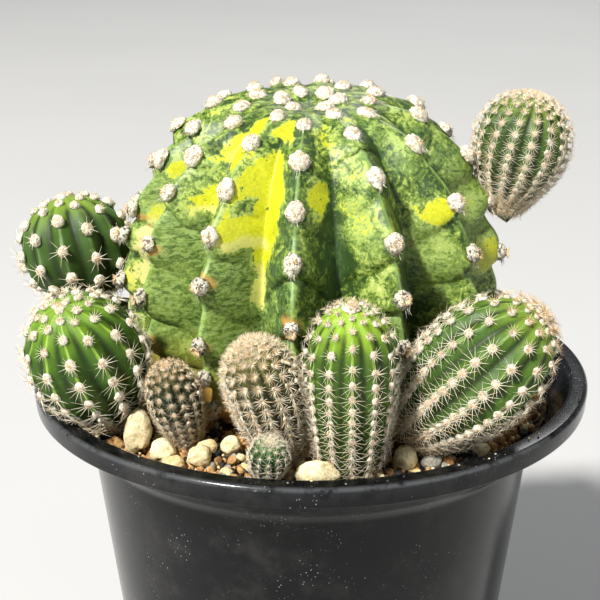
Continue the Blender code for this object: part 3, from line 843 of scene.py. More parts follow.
# name, foot, tip, widest radius, foot radius, where it is widest, taper, ribs, rib depth, root
PUPS = (
    (
        "pup_upper_left", (-61.4, 10, 14.8), (-68.2, 13.4, 43.6), 15.2, 5, 0.5, 0.75, 12, 0.13,
        (-45.2, 7.4, 11),
    ),
    ("pup_front_left", (-49, -27, -5), (-59.6, -42, 31.2), 14.2, 4.2, 0.6, 1, 12, 0.13, ON_SOIL),
    ("pup_small_dark", (-30.8, -36.2, -6.6), (-34.9, -43.6, 16.4), 6.2, 3.4, 0.6, 1, 14, 0.1, ON_SOIL),
    ("pup_spiny", (-5, -45.5, -6.4), (-13.9, -57.5, 26.8), 8.3, 4, 0.66, 1, 15, 0.08, ON_SOIL),
    ("pup_columnar", (9.6, -50.4, -6.6), (9.2, -59.2, 37), 10.2, 7, 0.66, 0.9, 12, 0.11, ON_SOIL),
    ("pup_right", (23.2, -42.8, -1), (54.2, -47.7, 31.4), 14, 4.8, 0.54, 0.8, 13, 0.11, ON_SOIL),
    (
        "pup_shoulder", (51.2, 5.4, 41.4), (58.2, 2, 73.2), 12.1, 3.6, 0.62, 1.15, 16, 0.08,
        (50.6, 5.4, 40.6),
    ),
    ("pup_tiny_front", (-10.2, -57.8, -5.2), (-9.2, -63, 5.6), 4.6, 2.2, 0.58, 0.8, 12, 0.1, ON_SOIL),
)

# How each offset looks, in millimetres. First row: from areole to areole at the crown, at a
# fifth, at half and at the foot of a rib; width, length and height of a cushion of wool; how
# many spines, their length at the crown and further down, radius and lift; how many spines
# stand out, and their length; width of the wool at the tip; how tan the spines are, at the
# crown and further down. Second row: colours of the crown, the body, the crests and the foot.
PUP_LOOKS = {
    "pup_upper_left": (
        (3.4, 8.6, 8, 4), (3.5, 3.8, 1.6), (8, 0.6, 4.4, 0.07, 0.42), (0, 0), 3.4, (0.1, 0.15),
        (0.17, 0.27, 0.02), (0.038, 0.085, 0.01), (0.11, 0.19, 0.05), (0.06, 0.07, 0.02),
    ),
    "pup_front_left": (
        (2.8, 6.6, 5.4, 2.6), (2.7, 3, 1.1), (12, 2.2, 5, 0.056, 0.3), (1, 1.4), 3.2, (0.1, 0.06),
        (0.13, 0.25, 0.012), (0.042, 0.105, 0.007), (0.26, 0.41, 0.05), (0.07, 0.07, 0.02),
    ),
    "pup_small_dark": (
        (1.6, 2.8, 2.8, 2.2), (1, 1.1, 0.5), (12, 1.6, 2.2, 0.05, 0.34), (2, 1.6), 2.8, (0.6, 0.38),
        (0.07, 0.06, 0.015), (0.014, 0.026, 0.005), (0.03, 0.048, 0.012), (0.06, 0.04, 0.02),
    ),
    "pup_spiny": (
        (1.6, 3.2, 3.1, 2.3), (1.3, 1.5, 0.65), (15, 2.4, 3.2, 0.07, 0.52), (3, 2.4), 3, (0.36, 0.22),
        (0.16, 0.15, 0.03), (0.045, 0.05, 0.01), (0.09, 0.095, 0.025), (0.1, 0.07, 0.03),
    ),
    "pup_columnar": (
        (2.2, 4.6, 3.2, 2.6), (1.9, 2.1, 0.85), (11, 1.8, 4, 0.048, 0.26), (1, 1.8), 4.4, (0.35, 0.05),
        (0.24, 0.4, 0.018), (0.052, 0.115, 0.009), (0.22, 0.35, 0.05), (0.07, 0.09, 0.02),
    ),
    "pup_right": (
        (2.2, 6.2, 3.2, 2), (2.5, 2.7, 1.05), (13, 2.4, 4.6, 0.054, 0.28), (1, 1.8), 4.6, (0.75, 0.08),
        (0.15, 0.24, 0.022), (0.046, 0.105, 0.009), (0.18, 0.3, 0.06), (0.16, 0.1, 0.03),
    ),
    "pup_shoulder": (
        (1.7, 3.1, 2.9, 2.2), (1.7, 1.8, 0.8), (16, 2, 3.2, 0.058, 0.32), (1, 1.2), 2.8, (0.4, 0.16),
        (0.14, 0.2, 0.03), (0.04, 0.088, 0.01), (0.12, 0.2, 0.05), (0.06, 0.08, 0.02),
    ),
    "pup_tiny_front": (
        (1.2, 1.9, 1.9, 1.5), (0.6, 0.65, 0.35), (9, 1.5, 1.9, 0.046, 0.24), (0, 0), 1.2, (0, 0),
        (0.05, 0.13, 0.02), (0.012, 0.05, 0.01), (0.03, 0.09, 0.02), (0.05, 0.06, 0.02),
    ),
}

# An offset's skin ends in a narrower collar in the soil: its share of the foot, and how deep
COLLAR_SHARE = 0.85
COLLAR_DEPTH = 4.0
SHORTEST_SPINE = 0.9
UPRIGHT = 1.6
# How far tubercles stand out and how uneven the skin is, for an offset of this radius
PUP_TUBERCLE = 0.26
PUP_UNEVEN = 0.16
PUP_SCALE = 14.0
PUP_STEPS_PER_RIB = 14
PUP_ROWS = 112


def soil_level(x, y):
    """Height of the soil's surface, in metres, at a place in metres."""
    return POT_HEIGHT - HEADSPACE + SOIL_MOUND * (1.0 - (np.hypot(x, y) / BODY_RADIUS) ** 2)


class Pup:
    """One offset: its skin as a surface, and the places of its areoles."""

    def __init__(self, name, foot, tip, widest, foot_radius, widest_at, taper, ribs, depth, root):
        self.name, self.widest, self.foot_radius = name, widest, foot_radius
        self.widest_at, self.taper, self.depth = widest_at, taper, depth
        self.pitch, self.wool, self.spines, *others = PUP_LOOKS[name]
        self.middle, self.heart, self.brown, *self.colours = others
        self.foot, self.tip = at(*foot), at(*tip)
        axis = self.tip - self.foot
        self.length = np.linalg.norm(axis)
        self.axis = axis / self.length
        self.side = unit(np.cross(self.axis, (0.0, -1.0, 0.0)))
        self.ahead = unit(np.cross(self.side, self.axis))
        if root is ON_SOIL:
            x, y = self.foot[:2]
            self.root = np.array((x, y, soil_level(x, y) - COLLAR_DEPTH * MM))
        else:
            self.root = at(*root)
        self.ribs = Ribs([self.rib_marks(rib, ribs) for rib in range(ribs)])

    def radius(self, along):
        along = np.clip(along, 0.0, 1.0)
        rise = np.sin(0.5 * math.pi * np.minimum(along / self.widest_at, 1.0)) ** self.taper
        below = self.foot_radius + (self.widest - self.foot_radius) * rise
        fall = np.clip((along - self.widest_at) / (1.0 - self.widest_at), 0.0, 1.0)
        return np.where(along < self.widest_at, below, self.widest * np.sqrt(1.0 - fall**2.2))

    def rib_marks(self, rib, ribs):
        """Where a rib's areoles are, from the crown down, as shares of the axis."""
        along = np.linspace(1.0, 0.0, 500)
        walk = np.hypot(np.diff(self.radius(along)), np.diff(along) * self.length / MM)
        walk = np.concatenate(((0.0,), np.cumsum(walk)))
        places, s = [], 0.5 * self.pitch[0] * (1.0 + (rib % 2))
        while s < 0.97 * walk[-1]:
            mark = float(np.interp(s, walk, along))
            room = TURN * float(self.radius(mark)) / (ribs * self.wool[0])
            every = 1 if room > 0.85 else 2 if room > 0.5 else 4
            if rib % every == 0:
                places.append(mark)
            s += np.interp(s / walk[-1], (0.0, 0.2, 0.5, 0.85), self.pitch)
        return places

    def surface(self, place, along):
        wrapped = place % self.ribs.count
        across, down = self.ribs.cells(wrapped, along)
        radius = self.radius(along)
        reach = radius * (1.0 - self.depth * np.minimum(1.0, 3.0 * along) * hollow(across))
        size = self.widest / PUP_SCALE
        bump = np.cos(TURN * down) * (1.0 - across) ** 2
        reach = reach + PUP_TUBERCLE * size * bump * np.minimum(1.0, radius / self.widest)
        spots = np.stack((wrapped, along * 9.0, across), -1)
        reach = reach + PUP_UNEVEN * size * smooth_noise(spots, 11)
        turn = TURN * place / self.ribs.count
        out = self.side * np.sin(turn)[..., None] + self.ahead * np.cos(turn)[..., None]
        return self.foot + self.axis * (self.length * along)[..., None] + out * (reach * MM)[..., None]

    def build_skin(self):
        columns = self.ribs.count * PUP_STEPS_PER_RIB
        place = np.arange(columns) / PUP_STEPS_PER_RIB
        along = np.sin(0.5 * math.pi * np.arange(PUP_ROWS) / (PUP_ROWS - 0.4)) ** 1.1
        places, alongs = np.meshgrid(place, along)
        rings = self.surface(places, alongs)
        across, down = self.ribs.cells(places, alongs)
        neck = unit(self.foot - self.root)
        neck_side = unit(self.side - neck * (self.side @ neck))
        turn = (TURN * place / self.ribs.count)[:, None]
        out = neck_side * np.sin(turn) + np.cross(neck_side, neck) * np.cos(turn)
        collar = self.root + out * (self.foot_radius * COLLAR_SHARE * MM)
        verts = np.concatenate((collar, rings.reshape(-1, 3), self.root[None], rings[-1].mean(0)[None]))
        values = {"across": across, "along": alongs, "down": np.cos(TURN * down)}
        for key, value in values.items():
            ends = (value[0].mean(), value[-1].mean())
            values[key] = np.concatenate((value[0], value.ravel(), ends))
        faces = ring_faces(PUP_ROWS + 1, columns)[:, ::-1]
        look = pup_skin(self.name, *self.colours)
        skin = piece(self.name + "_skin", verts, faces, look, values)
        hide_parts(self.name)

    def build_cover(self, seed, wool_material, spine_material):
        """The wool and the spines of every areole."""
        chance = np.random.default_rng(seed)
        cushions, thorns = Batch(), Batch()
        count, short, long, thick, lift = self.spines
        middle, middle_length = self.middle
        width, _, height = self.wool
        level = 2 if width > 2.5 else 1
        hairs, hair_length = int(4 + 9 * width), 0.25 + 0.15 * width
        for rib, marks in enumerate(self.ribs.areoles):
            for along in marks:
                seat = self.ribs.frame_at(self.surface, rib, along, -0.012)
                young = soft_step(0.74, 0.98, along)
                old = soft_step(0.35, 0.0, along)
                grown = (1.0 - 0.25 * young - 0.25 * old) * chance.uniform(0.85, 1.15)
                size = np.array(self.wool) * grown
                add_tuft(cushions, seat, size, level, chance, 0.3 * old, 1.0)
                add_fibres(cushions, seat, size, hairs, chance, 0.6 * old, hair_length)
                spine = short + (long - short) * soft_step(0.97, 0.55, along)
                if spine > SHORTEST_SPINE:
                    tan = self.brown[0] * young + self.brown[1] * (1.0 - young) + 0.40 * old
                    rise, root = lift + 0.5 * young, 0.6 * height
                    add_spines(thorns, seat, count, spine, thick, rise, chance, tan, 0.1, root)
                    if middle:
                        stout, root = 1.15 * thick, 0.7 * height
                        tan = tan + 0.2
                        long_ones = (middle, middle_length, stout, UPRIGHT)
                        add_spines(thorns, seat, *long_ones, chance, tan, 0.0, root)
        heart = self.heart
        seat = (self.tip - self.axis * 0.3 * MM, self.axis, unit(np.cross(self.axis, self.side)))
        add_tuft(cushions, seat, (heart, heart, 0.22 * heart), 3, chance, 0.4, 1.2)
        add_fibres(cushions, seat, (heart, heart, 0.25 * heart), 40, chance, 0.0, 0.6)
        add_spines(thorns, seat, 16, 0.5 * heart, 0.06, 0.9, chance, 0.8, 0.0, 0.2 * heart)
        cushions.make(self.name + "_wool", wool_material, "areole_wool")
        thorns.make(self.name + "_spines", spine_material, "spines")


def pup_skin(name, crown, body, crest, foot):
    made = Shader(name + "_skin")
    across = made.value("across")
    cloud = made.noise(110.0, 4.0, 0.6)
    fine = made.noise(900.0, 3.0, 0.6)
    uneven = made.value("along") + (cloud - 0.5) * 0.22
    # A darker copy of the body colour, for painted shade in the grooves and for the darker lower body.
    dark = tuple(0.38 * c for c in body)
    colour = made.over(
        made.mix(made.step(uneven, 0.74, 1.0), body, crown),
        # Painted shade: darker in the grooves, except near the crown.
        (made.step(across, 0.50, 0.95) * made.step(uneven, 1.0, 0.86), dark),
        (made.step(across, 0.17, 0.04) * made.step(cloud, 0.25, 0.50) * 0.85, crest),
        (made.step(fine, 0.58, 0.75) * 0.22, crest),
        # Darker towards the foot.
        (made.step(uneven, 0.62, 0.18) * 0.6, dark),
        (made.step(uneven, 0.16, 0.0), foot),
    )
    made.bump(fine, 0.25, 0.0002)
    return made.finish(colour, cloud * 0.20 + 0.44, 0.32)


# ---------------------------------------------------------------- stones and soil

# name, middle, half sizes, turn about Z, tip, kind, as in the CAD
STONES = (
    ("pumice_long", (-42.6, -41.6), (3.5, 3.3, 6.2), 20, 10, "pumice"),
    ("pumice_round", (-36, -45.8), (3.4, 3.2, 3), 0, 0, "pumice"),
    ("pumice_small_wedge", (-33, -50.8), (3, 2.2, 2.1), -20, 0, "pumice"),
    ("pumice_wedge", (-26.9, -49.4), (3.6, 2.8, 3), 15, 0, "pumice"),
    ("pumice_pale", (-25.4, -43.2), (2.6, 1.9, 2.2), 10, 0, "pumice"),
    ("pumice_pale_lump", (-19.4, -43), (2.8, 2.4, 2.5), 25, 0, "pumice"),
    ("pumice_front", (1.6, -60.2), (5.4, 2.3, 3.6), 4, 0, "pumice"),
    ("pumice_bead", (-1.8, -52.4), (1.7, 1.6, 1.7), 0, 0, "pumice"),
    ("pumice_yellow", (22.8, -50.4), (3, 2.8, 3.3), 10, 0, "pumice"),
    ("pumice_right", (60.8, -5), (3.2, 2.8, 2.5), 60, 0, "pumice"),
    ("pumice_chip", (42, -43.4), (2.4, 1.8, 1.9), 35, 0, "pumice"),
    ("pumice_back_left", (-45.5, 34.5), (3.6, 2.9, 2.7), -40, 0, "pumice"),
    ("pumice_back_right", (28.6, 49.2), (3.6, 2.5, 2.5), -20, 0, "pumice"),
    ("pumice_back", (-13.4, 55), (3, 2.4, 2.3), 0, 0, "pumice"),
    ("grit_grey", (29.2, -49.6), (2.7, 2, 1.9), 20, 0, "grey_grit"),
    ("grit_grey_back", (53, 22), (3.2, 2.4, 2.3), -30, 0, "grey_grit"),
    ("akadama_right", (54, -17.6), (3.2, 2.8, 2.6), 10, 0, "akadama"),
    ("akadama_right_small", (55.2, -24), (2.5, 2.1, 2), 50, 0, "akadama"),
    ("akadama_right_low", (48.6, -32.4), (2.8, 2.2, 2), -30, 0, "akadama"),
    ("akadama_left", (-53.6, -12), (2.5, 2.2, 2.1), 30, 0, "akadama"),
    ("akadama_back", (7.6, 55.4), (2.7, 2.3, 2.2), 0, 0, "akadama"),
    ("akadama_back_left", (-33, 46.6), (2.6, 2.2, 2.1), 45, 0, "akadama"),
    ("lava_right", (36.8, -44.4), (2.8, 2.2, 1.9), -15, 0, "lava"),
    ("lava_back_right", (44.8, 36.2), (3.1, 2.5, 2.3), 10, 0, "lava"),
)

# Light tone, dark tone, how rough the lump is, how deep its pores are
STONE_KINDS = {
    "pumice": ((0.9, 0.8, 0.5), (0.56, 0.41, 0.17), 0.09, 0.06),
    "grey_grit": ((0.48, 0.46, 0.38), (0.2, 0.19, 0.15), 0.07, 0.03),
    "akadama": ((0.62, 0.37, 0.15), (0.24, 0.12, 0.045), 0.16, 0.12),
    "lava": ((0.045, 0.042, 0.04), (0.01, 0.01, 0.01), 0.14, 0.1),
}


def stone_look(kind):
    light, dark, _, _ = STONE_KINDS[kind]
    made = Shader(kind)
    cloud = made.noise(420.0, 6.0, 0.72)
    grain = made.noise(1700.0, 3.0, 0.7)
    mixed = cloud * 0.7 + grain * 0.3
    shade = made.step(mixed + made.value("tone") * 0.12, 0.42, 0.68)
    # Painted shade: the stone is darker in its pits.
    in_pores = tuple(0.6 * c for c in dark)
    colour = made.over(dark, (shade, light), (made.value("pore") * 0.55, in_pores))
    made.bump(mixed, 0.9, 0.0007)
    return made.finish(colour, 0.92, 0.25)


def rock(level, chance, rough, pores, flats=7, low=0.74, high=0.92):
    """Points, triangles and pore depth of a worn unit stone: a lump with flattened sides."""
    shape, faces = LUMPS[level]
    points = shape.copy()
    for _ in range(flats):
        way = unit(chance.normal(size=3))
        over = points @ way - chance.uniform(low, high)
        points = points - way * np.maximum(over, 0.0)[:, None] * 0.85
    seed = chance.uniform(0.0, 100.0, 3)
    points = points * (1.0 + rough * rough_noise(shape * 2.4 + seed, 3)[:, None])
    pits = soft_step(0.15, 0.55, rough_noise(shape * 4.5 + seed, 9, 2))
    points = points * (1.0 - pores * pits[:, None])
    return points, faces, pits


STONE_SINK = 0.5  # millimetres that a stone's lowest place is in the soil


def build_stones(looks):
    for number, (name, middle, half, turn_deg, tip_deg, kind) in enumerate(STONES):
        chance = np.random.default_rng(STONE_SEED + number)
        _, _, rough, pores = STONE_KINDS[kind]
        points, faces, pits = rock(4, chance, rough, pores)
        points = points * np.array(half) * MM
        turn = Matrix.Rotation(math.radians(turn_deg), 3, "Z")
        tipped = np.array(turn @ Matrix.Rotation(math.radians(tip_deg), 3, "Y"))
        points = points @ tipped.T + np.array((middle[0] * MM, middle[1] * MM, 0.0))
        points[:, 2] += np.max(soil_level(points[:, 0], points[:, 1]) - points[:, 2]) - STONE_SINK * MM
        values = {"pore": pits, "tone": np.full(len(points), chance.uniform(0.0, 1.0))}
        stone = piece(name + "_look", points, faces, looks[kind], values)
        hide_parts(name)


# The small grains: from one to the next, radius from which a grain is a big lump, and how far
# from the stem's middle the stem hides them, in millimetres; and how many shapes there are
GRAIN_SPACING = 1.55
BIG_GRAIN = 1.1
UNDER_STEM = 40.0
FINE_SHAPES = 12
BIG_SHAPES = 8

# Bigger loose grains that show between the offsets: x, y, size, kind
LOOSE_GRAINS = (
    (57, -21.6, 2.9, "akadama"),
    (53.4, -27.2, 2.7, "akadama"),
    (59.4, -14.6, 2.7, "akadama"),
    (50.2, -32.8, 2.2, "akadama"),
    (55, -28.8, 1.7, "pumice"),
    (-54.8, -30, 2.4, "lava"),
    (-51.6, -34.6, 2, "lava"),
    (-57.4, -24.6, 2.1, "lava"),
    (-47.6, -38.8, 1.6, "akadama"),
    (-45.4, -42.6, 1.2, "akadama"),
    (47.2, -37, 2, "akadama"),
    (51.4, -29.4, 1.8, "akadama"),
    (45.4, -39.8, 1.4, "akadama"),
    (58.6, -13, 1.9, "akadama"),
    (56.4, -29, 1.3, "akadama"),
    (33.6, -48.6, 1.6, "akadama"),
    (39.6, -46.8, 1.5, "lava"),
    (50.8, -35.2, 0.9, "pumice"),
    (54.4, -28, 0.9, "pumice"),
    (-22.6, -48.6, 1.3, "akadama"),
    (-23.6, -46, 1.2, "lava"),
    (-19, -48.8, 1.5, "akadama"),
    (-16.8, -46.8, 1.5, "pumice"),
    (-14.8, -50, 1.2, "lava"),
    (-16.4, -53.4, 1.3, "akadama"),
    (16.6, -56.6, 1.2, "pumice"),
    (19, -54.6, 1.3, "akadama"),
)
RIM_CRUMBS = 26
GRAIN_MIX = (("akadama", 0.50), ("lava", 0.24), ("grey_grit", 0.12), ("pumice", 0.14))
SOIL_REACH = 64.6


# How uneven the soil's top is, how wide its lumps are, and how far it lies below the grains
SOIL_UNEVEN = 0.55
SOIL_LUMP = 2.2
SOIL_SINK = 0.5
SOIL_ROWS = 60
SOIL_COLUMNS = 220
# The ball's side and underside: radius and height, in millimetres
SOIL_FLOOR = (UNDERSIDE_RECESS + WALL + 0.0004) / MM
SOIL_SIDE = ((61.5, 113.0), (58.4, 107.3), (47.6, SOIL_FLOOR + 4.2), (43.8, SOIL_FLOOR))


def build_soil(looks):
    """The root ball, with an uneven top."""
    turn = around(SOIL_COLUMNS)
    rings = []
    for reach in np.linspace(0.5, SOIL_REACH, SOIL_ROWS):
        spots = ring(turn, reach * MM, 0.0)
        uneven = SOIL_UNEVEN * MM * smooth_noise(spots / (SOIL_LUMP * MM), 31)
        spots[:, 2] = soil_level(spots[:, 0], spots[:, 1]) + uneven - SOIL_SINK * MM
        rings.append(spots)
    for reach, height in SOIL_SIDE:
        rings.append(ring(turn, reach * MM, height * MM))
    verts = np.concatenate((*rings, [rings[0].mean(0), rings[-1].mean(0)]))
    faces = ring_faces(len(rings), SOIL_COLUMNS)
    values = {"pore": np.zeros(len(verts)), "tone": np.full(len(verts), 0.1)}
    soil = piece("soil_ball", verts, faces, looks["soil"], values, sharp_deg=60)
    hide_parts("soil")


def scattered_grains(chance, kinds):
    """Where the grains lie: x, y, size, kind, height, in millimetres."""
    odds = np.cumsum([share for _, share in GRAIN_MIX])
    grains = []
    steps = int(SOIL_REACH / GRAIN_SPACING) + 1
    for i in range(-steps, steps + 1):
        for j in range(-steps, steps + 1):
            x = (i + 0.5 * (j % 2)) * GRAIN_SPACING + chance.uniform(-0.6, 0.6)
            y = j * 0.87 * GRAIN_SPACING + chance.uniform(-0.6, 0.6)
            size = 0.55 + 1.15 * chance.uniform() ** 2.2
            patchy = smooth_noise(np.array(((x / 9.0, y / 9.0, 2.0),)), 51)[0]
            pick = np.clip(chance.uniform() + 0.35 * patchy, 0.0, 0.999)
            inside = math.hypot(x, y) < SOIL_REACH - 0.6 - size
            if inside and math.hypot(x, y - STEM_MIDDLE[1]) > UNDER_STEM:
                height = soil_level(x * MM, y * MM) / MM + 0.25 * size - 0.3
                grains.append((x, y, size, kinds[int(np.searchsorted(odds, pick))], height))
    for x, y, size, kind in LOOSE_GRAINS:
        grains.append((x, y, size, kind, soil_level(x * MM, y * MM) / MM + 0.6 * size))
    for turn in chance.uniform(0.0, TURN, RIM_CRUMBS):
        size, reach = chance.uniform(0.2, 0.5), chance.uniform(71.4, 74.0)
        x, y, height = reach * math.cos(turn), reach * math.sin(turn), POT_HEIGHT / MM + 0.5 * size
        grains.append((x, y, size, kinds[chance.integers(2, 4)], height))
    return grains


def build_grains(looks):
    """Small grains all over the soil that shows, a few bigger ones, and crumbs on the rim."""
    chance = np.random.default_rng(GRAIN_SEED)
    fine_shapes = [rock(1, chance, 0.14, 0.0, 5, 0.62, 0.9) for _ in range(FINE_SHAPES)]
    big_shapes = [rock(3, chance, 0.17, 0.10, 6, 0.66, 0.9) for _ in range(BIG_SHAPES)]
    kinds = [kind for kind, _ in GRAIN_MIX]
    grains = scattered_grains(chance, kinds)
    batches = {(kind, side): Batch() for kind in kinds for side in ("front", "back")}
    for x, y, size, kind, height in grains:
        shapes = big_shapes if size > BIG_GRAIN else fine_shapes
        points, faces, pits = shapes[chance.integers(len(shapes))]
        turned = quaternion_matrix(unit(chance.normal(size=4)))
        lift = chance.uniform(0.0, 0.4) if size < 1.0 else 0.0
        flattened = points * np.array((1.0, 0.85, 0.75)) * size
        placed = flattened @ turned.T + np.array((x, y, height + lift))
        side = "front" if y < 0.0 else "back"
        batches[kind, side].add(placed * MM, faces, pore=pits, tone=chance.uniform())
    for (kind, side), batch in batches.items():
        batch.make("grains_%s_%s" % (kind, side), looks[kind], kind)


def quaternion_matrix(q):
    """Turning matrix of a unit quaternion."""
    w, x, y, z = q
    return np.array((
        (1 - 2 * (y * y + z * z), 2 * (x * y - z * w), 2 * (x * z + y * w)),
        (2 * (x * y + z * w), 1 - 2 * (x * x + z * z), 2 * (y * z - x * w)),
        (2 * (x * z - y * w), 2 * (y * z + x * w), 1 - 2 * (x * x + y * y)),
    ))


def soil_look():
    made = Shader("potting_soil")
    cloud = made.noise(700.0, 5.0, 0.7)
    colour = made.mix(made.step(cloud, 0.40, 0.66), (0.016, 0.010, 0.006), (0.13, 0.075, 0.035))
    made.bump(cloud, 0.8, 0.0006)
    return made.finish(colour, 0.95, 0.2)


# ---------------------------------------------------------------- pot

POT_SEGMENTS = 224
# The cutters: sides and length of a drain hole's, and length of a foot notch's
HOLE_SEGMENTS = 40
HOLE_CUTTER_LENGTH = 0.02
NOTCH_CUTTER_LENGTH = 0.018


def rounded(corners):
    """A section with rounded corners. Each corner is a radius, a height and its rounding."""
    points = [Vector(corner[:2]) for corner in corners]
    made = [points[0]]
    for i in range(1, len(points) - 1):
        here = points[i]
        before, after = points[i - 1] - here, points[i + 1] - here
        reach = min(corners[i][2], 0.45 * before.length, 0.45 * after.length)
        if reach < 1e-5:
            made.append(here)
            continue
        start, end = here + before.normalized() * reach, here + after.normalized() * reach
        for t in (0.0, 0.25, 0.5, 0.75, 1.0):
            made.append(start * (1 - t) ** 2 + here * 2 * t * (1 - t) + end * t * t)
    made.append(points[-1])
    return [(p.x, p.y) for p in made]


def pot_profile():
    """The pot's section from the middle of the foot, up outside, and down inside to the middle."""
    bend = POT_HEIGHT - FLARE_DEPTH
    lip = RIM_RADIUS - RIM_LAND
    skirt = POT_HEIGHT - RIM_SKIRT
    foot_edge = FOOT_RADIUS - 0.0010
    ring_inside = foot_edge - FOOT_RING_WIDTH
    floor = UNDERSIDE_RECESS + WALL

    def wall_radius(height):
        return FOOT_RADIUS + (BODY_RADIUS - FOOT_RADIUS) * height / bend

    return rounded([
        (0.0, 0.0, 0.0),
        (GATE_BOSS_RADIUS, 0.0, 0.0003),
        (GATE_BOSS_RADIUS + 0.0006, UNDERSIDE_RECESS, 0.0003),
        (ring_inside - 0.0006, UNDERSIDE_RECESS, 0.0003),
        (ring_inside, 0.0, 0.0003),
        (foot_edge, 0.0, 0.0006),
        (wall_radius(0.0012), 0.0012, 0.0006),
        (wall_radius(0.5 * bend), 0.5 * bend, 0.0),
        (wall_radius(bend - 0.0010), bend - 0.0010, 0.0008),
        (BODY_RADIUS + 0.0012, bend + 0.0014, 0.0012),
        (lip - 0.45 * (lip - BODY_RADIUS) + 0.0009, POT_HEIGHT - 0.55 * FLARE_DEPTH, 0.0030),
        (lip + 0.0010, POT_HEIGHT - WALL - 0.0006, 0.0010),
        (RIM_RADIUS - WALL - 0.0004, POT_HEIGHT - WALL - 0.0002, 0.0004),
        (RIM_RADIUS - WALL - 0.0002, skirt + 0.0003, 0.0002),
        (RIM_RADIUS - WALL, skirt, 0.0003),
        (RIM_RADIUS - 0.0003, skirt, 0.0004),
        (RIM_RADIUS, POT_HEIGHT - 0.0008, 0.0006),
        (RIM_RADIUS - 0.0008, POT_HEIGHT, 0.0006),
        (lip, POT_HEIGHT, 0.0006),
        (lip - 0.0008, POT_HEIGHT - 0.0009, 0.0005),
        (lip - 0.52 * (lip - BODY_RADIUS + WALL), POT_HEIGHT - 0.52 * FLARE_DEPTH, 0.0030),
        (BODY_RADIUS - WALL + 0.0012, bend + 0.0010, 0.0008),
        (BODY_RADIUS - WALL, bend - 0.0012, 0.0008),
        (wall_radius(floor + 0.0040) - WALL, floor + 0.0040, 0.0008),
        (wall_radius(floor) - WALL - 0.0034, floor, 0.0006),
        (0.0, floor, 0.0),
    ])


def pot_look():
    made = Shader("pot_plastic")
    dust = made.noise(60.0, 5.0, 0.7)
    spots = made.step(made.cells(900.0), 0.20, 0.08)
    some = made.step(made.noise(90.0, 4.0, 0.7), 0.50, 0.66)
    # Painted highlight: a lighter, broken line along the rim's outer top edge.
    painted_rim_highlight = made.value("edge") * made.step(made.noise(160.0, 4.0, 0.7), 0.30, 0.50)
    colour = made.over(
        (0.0030, 0.0032, 0.0040),
        (made.step(dust, 0.46, 0.74) * 0.14, (0.13, 0.125, 0.11)),
        (spots * some * 0.55, (0.48, 0.50, 0.52)),
        (painted_rim_highlight * 0.28, (0.26, 0.27, 0.28)),
    )
    made.bump(made.noise(1500.0, 2.0, 0.5), 0.10, 0.0002)
    return made.finish(colour, dust * 0.18 + 0.08, 0.22)


def build_pot():
    profile = pot_profile()
    rings = [ring(around(POT_SEGMENTS), r, z) for r, z in profile[1:-1]]
    ends = np.array([(0.0, 0.0, z) for _, z in (profile[0], profile[-1])])
    verts = np.concatenate((*rings, ends))
    # The rim's outer top corner, where the painted highlight goes.
    edge = soft_step(RIM_RADIUS - 0.0012, RIM_RADIUS, np.hypot(verts[:, 0], verts[:, 1]))
    edge = edge * soft_step(POT_HEIGHT - 0.0016, POT_HEIGHT - 0.0004, verts[:, 2])
    faces = ring_faces(len(rings), POT_SEGMENTS)[:, ::-1]
    pot = piece("pot_shell", verts, faces, pot_look(), {"edge": edge}, sharp_deg=40)
    cut_holes(pot)
    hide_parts("pot")


def cut_holes(body):
    """Takes the round drain holes and the foot notches out of the pot."""
    made = bmesh.new()
    radius = DRAIN_HOLE_RADIUS
    for number in range(DRAIN_HOLES):
        turn = TURN * (number + 0.5) / DRAIN_HOLES
        x, y = DRAIN_CIRCLE_RADIUS * math.cos(turn), DRAIN_CIRCLE_RADIUS * math.sin(turn)
        place = Matrix.Translation((x, y, 0.003))
        bmesh.ops.create_cone(
            made, cap_ends=True, segments=HOLE_SEGMENTS, radius1=radius, radius2=radius,
            depth=HOLE_CUTTER_LENGTH, matrix=place,
        )
    size = Matrix.Diagonal((NOTCH_CUTTER_LENGTH, FOOT_NOTCH_WIDTH, 2.0 * FOOT_NOTCH_HEIGHT, 1.0))
    for number in range(FOOT_NOTCHES):
        turned = Matrix.Rotation(TURN * (number + 0.25) / FOOT_NOTCHES, 4, "Z")
        place = turned @ Matrix.Translation((FOOT_RADIUS - 0.004, 0.0, 0.0))
        bmesh.ops.create_cube(made, size=1.0, matrix=place @ size)
    mesh = bpy.data.meshes.new("cutters")
    made.to_mesh(mesh)
    made.free()
    cutter = bpy.data.objects.new("cutters", mesh)
    bpy.context.scene.collection.objects.link(cutter)
    change = body.modifiers.new("cut", "BOOLEAN")
    change.operation = "DIFFERENCE"
    change.solver = "EXACT"
    change.object = cutter
    graph = bpy.context.evaluated_depsgraph_get()
    shaped = bpy.data.meshes.new_from_object(body.evaluated_get(graph))
    body.modifiers.clear()
    body.data = shaped
    bpy.data.objects.remove(cutter)
    bpy.data.meshes.remove(mesh)


LOOKS = {kind: stone_look(kind) for kind in STONE_KINDS}
LOOKS["soil"] = soil_look()
WOOL = wool()
SPINES = spine_look()
build_pot()
build_soil(LOOKS)
build_grains(LOOKS)
build_stones(LOOKS)
build_stem()
dress_stem(WOOL, SPINES)
for number, row in enumerate(PUPS):
    pup = Pup(*row)
    pup.build_skin()
    pup.build_cover(PUP_SEED + number, WOOL, SPINES)

# ---------------------------------------------------------------- floor, light and camera


FLOOR_RADIUS = 6.0
FLOOR_SEGMENTS = 64


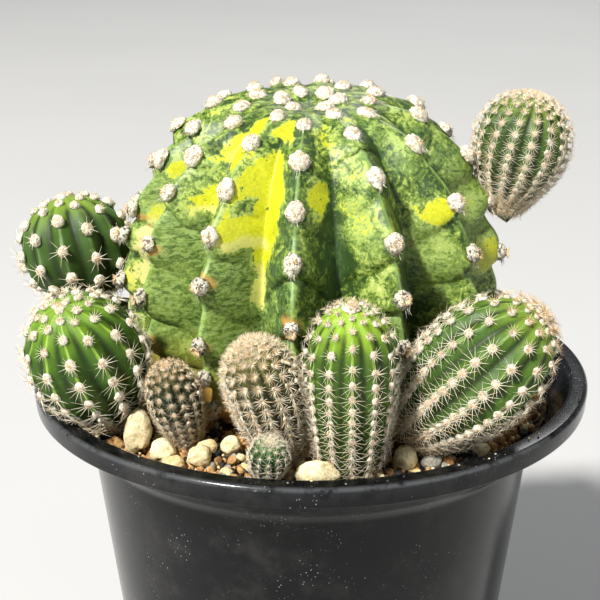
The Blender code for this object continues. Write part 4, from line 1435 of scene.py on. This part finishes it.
def build_floor():
    """A wide pale floor that the pot stands on."""
    made = Shader("pale_floor")
    colour = made.mix(made.noise(3.0, 3.0), (0.50, 0.50, 0.49), (0.55, 0.55, 0.54))
    mesh = bpy.data.meshes.new("floor")
    edge = ring(around(FLOOR_SEGMENTS), FLOOR_RADIUS, 0.0)
    mesh.from_pydata(edge.tolist(), [], [tuple(range(FLOOR_SEGMENTS))])
    mesh.materials.append(made.finish(colour, 0.75))
    floor = bpy.data.objects.new("floor", mesh)
    bpy.context.scene.collection.objects.link(floor)


def add_light(name, place, aim, size, watts, colour=(1.0, 1.0, 1.0)):
    light = bpy.data.lights.new(name, "AREA")
    light.shape = "DISK"
    light.size = size
    light.energy = watts
    light.color = colour
    lamp = bpy.data.objects.new(name, light)
    lamp.location = place
    lamp.rotation_mode = "QUATERNION"
    lamp.rotation_quaternion = (Vector(aim) - Vector(place)).to_track_quat("-Z", "Y")
    bpy.context.scene.collection.objects.link(lamp)


def build_light():
    world = bpy.data.worlds.new("studio")
    world.use_nodes = True
    inputs = world.node_tree.nodes["Background"].inputs
    inputs["Color"].default_value = (0.92, 0.95, 1.0, 1.0)
    inputs["Strength"].default_value = 0.20
    bpy.context.scene.world = world
    aim = (0.0, 0.0, 0.13)
    add_light("key", (-1.7, -2.0, 2.9), aim, 0.35, 300.0, (1.0, 0.98, 0.95))
    add_light("fill", (2.6, -2.0, 1.5), aim, 2.0, 17.0, (0.95, 0.97, 1.0))
    add_light("rim", (0.8, 3.0, 2.6), aim, 1.6, 45.0)


def build_camera():
    pitch, yaw, roll = map(math.radians, (CAMERA_PITCH_DEG, CAMERA_YAW_DEG, CAMERA_ROLL_DEG))
    level = math.cos(pitch)
    forward = Vector((math.sin(yaw) * level, math.cos(yaw) * level, -math.sin(pitch)))
    flat_right = forward.cross(Vector((0.0, 0.0, 1.0))).normalized()
    flat_upward = flat_right.cross(forward)
    right = flat_right * math.cos(roll) + flat_upward * math.sin(roll)
    upward = flat_upward * math.cos(roll) - flat_right * math.sin(roll)
    data = bpy.data.cameras.new("camera")
    data.lens = CAMERA_LENS
    data.sensor_width = CAMERA_SENSOR
    camera = bpy.data.objects.new("camera", data)
    turned = Matrix((right, upward, -forward)).transposed().to_4x4()
    camera.matrix_world = Matrix.Translation(CAMERA_PLACE) @ turned
    bpy.context.scene.collection.objects.link(camera)
    bpy.context.scene.camera = camera


build_floor()
build_light()
build_camera()
bpy.context.scene.view_settings.view_transform = "Standard"
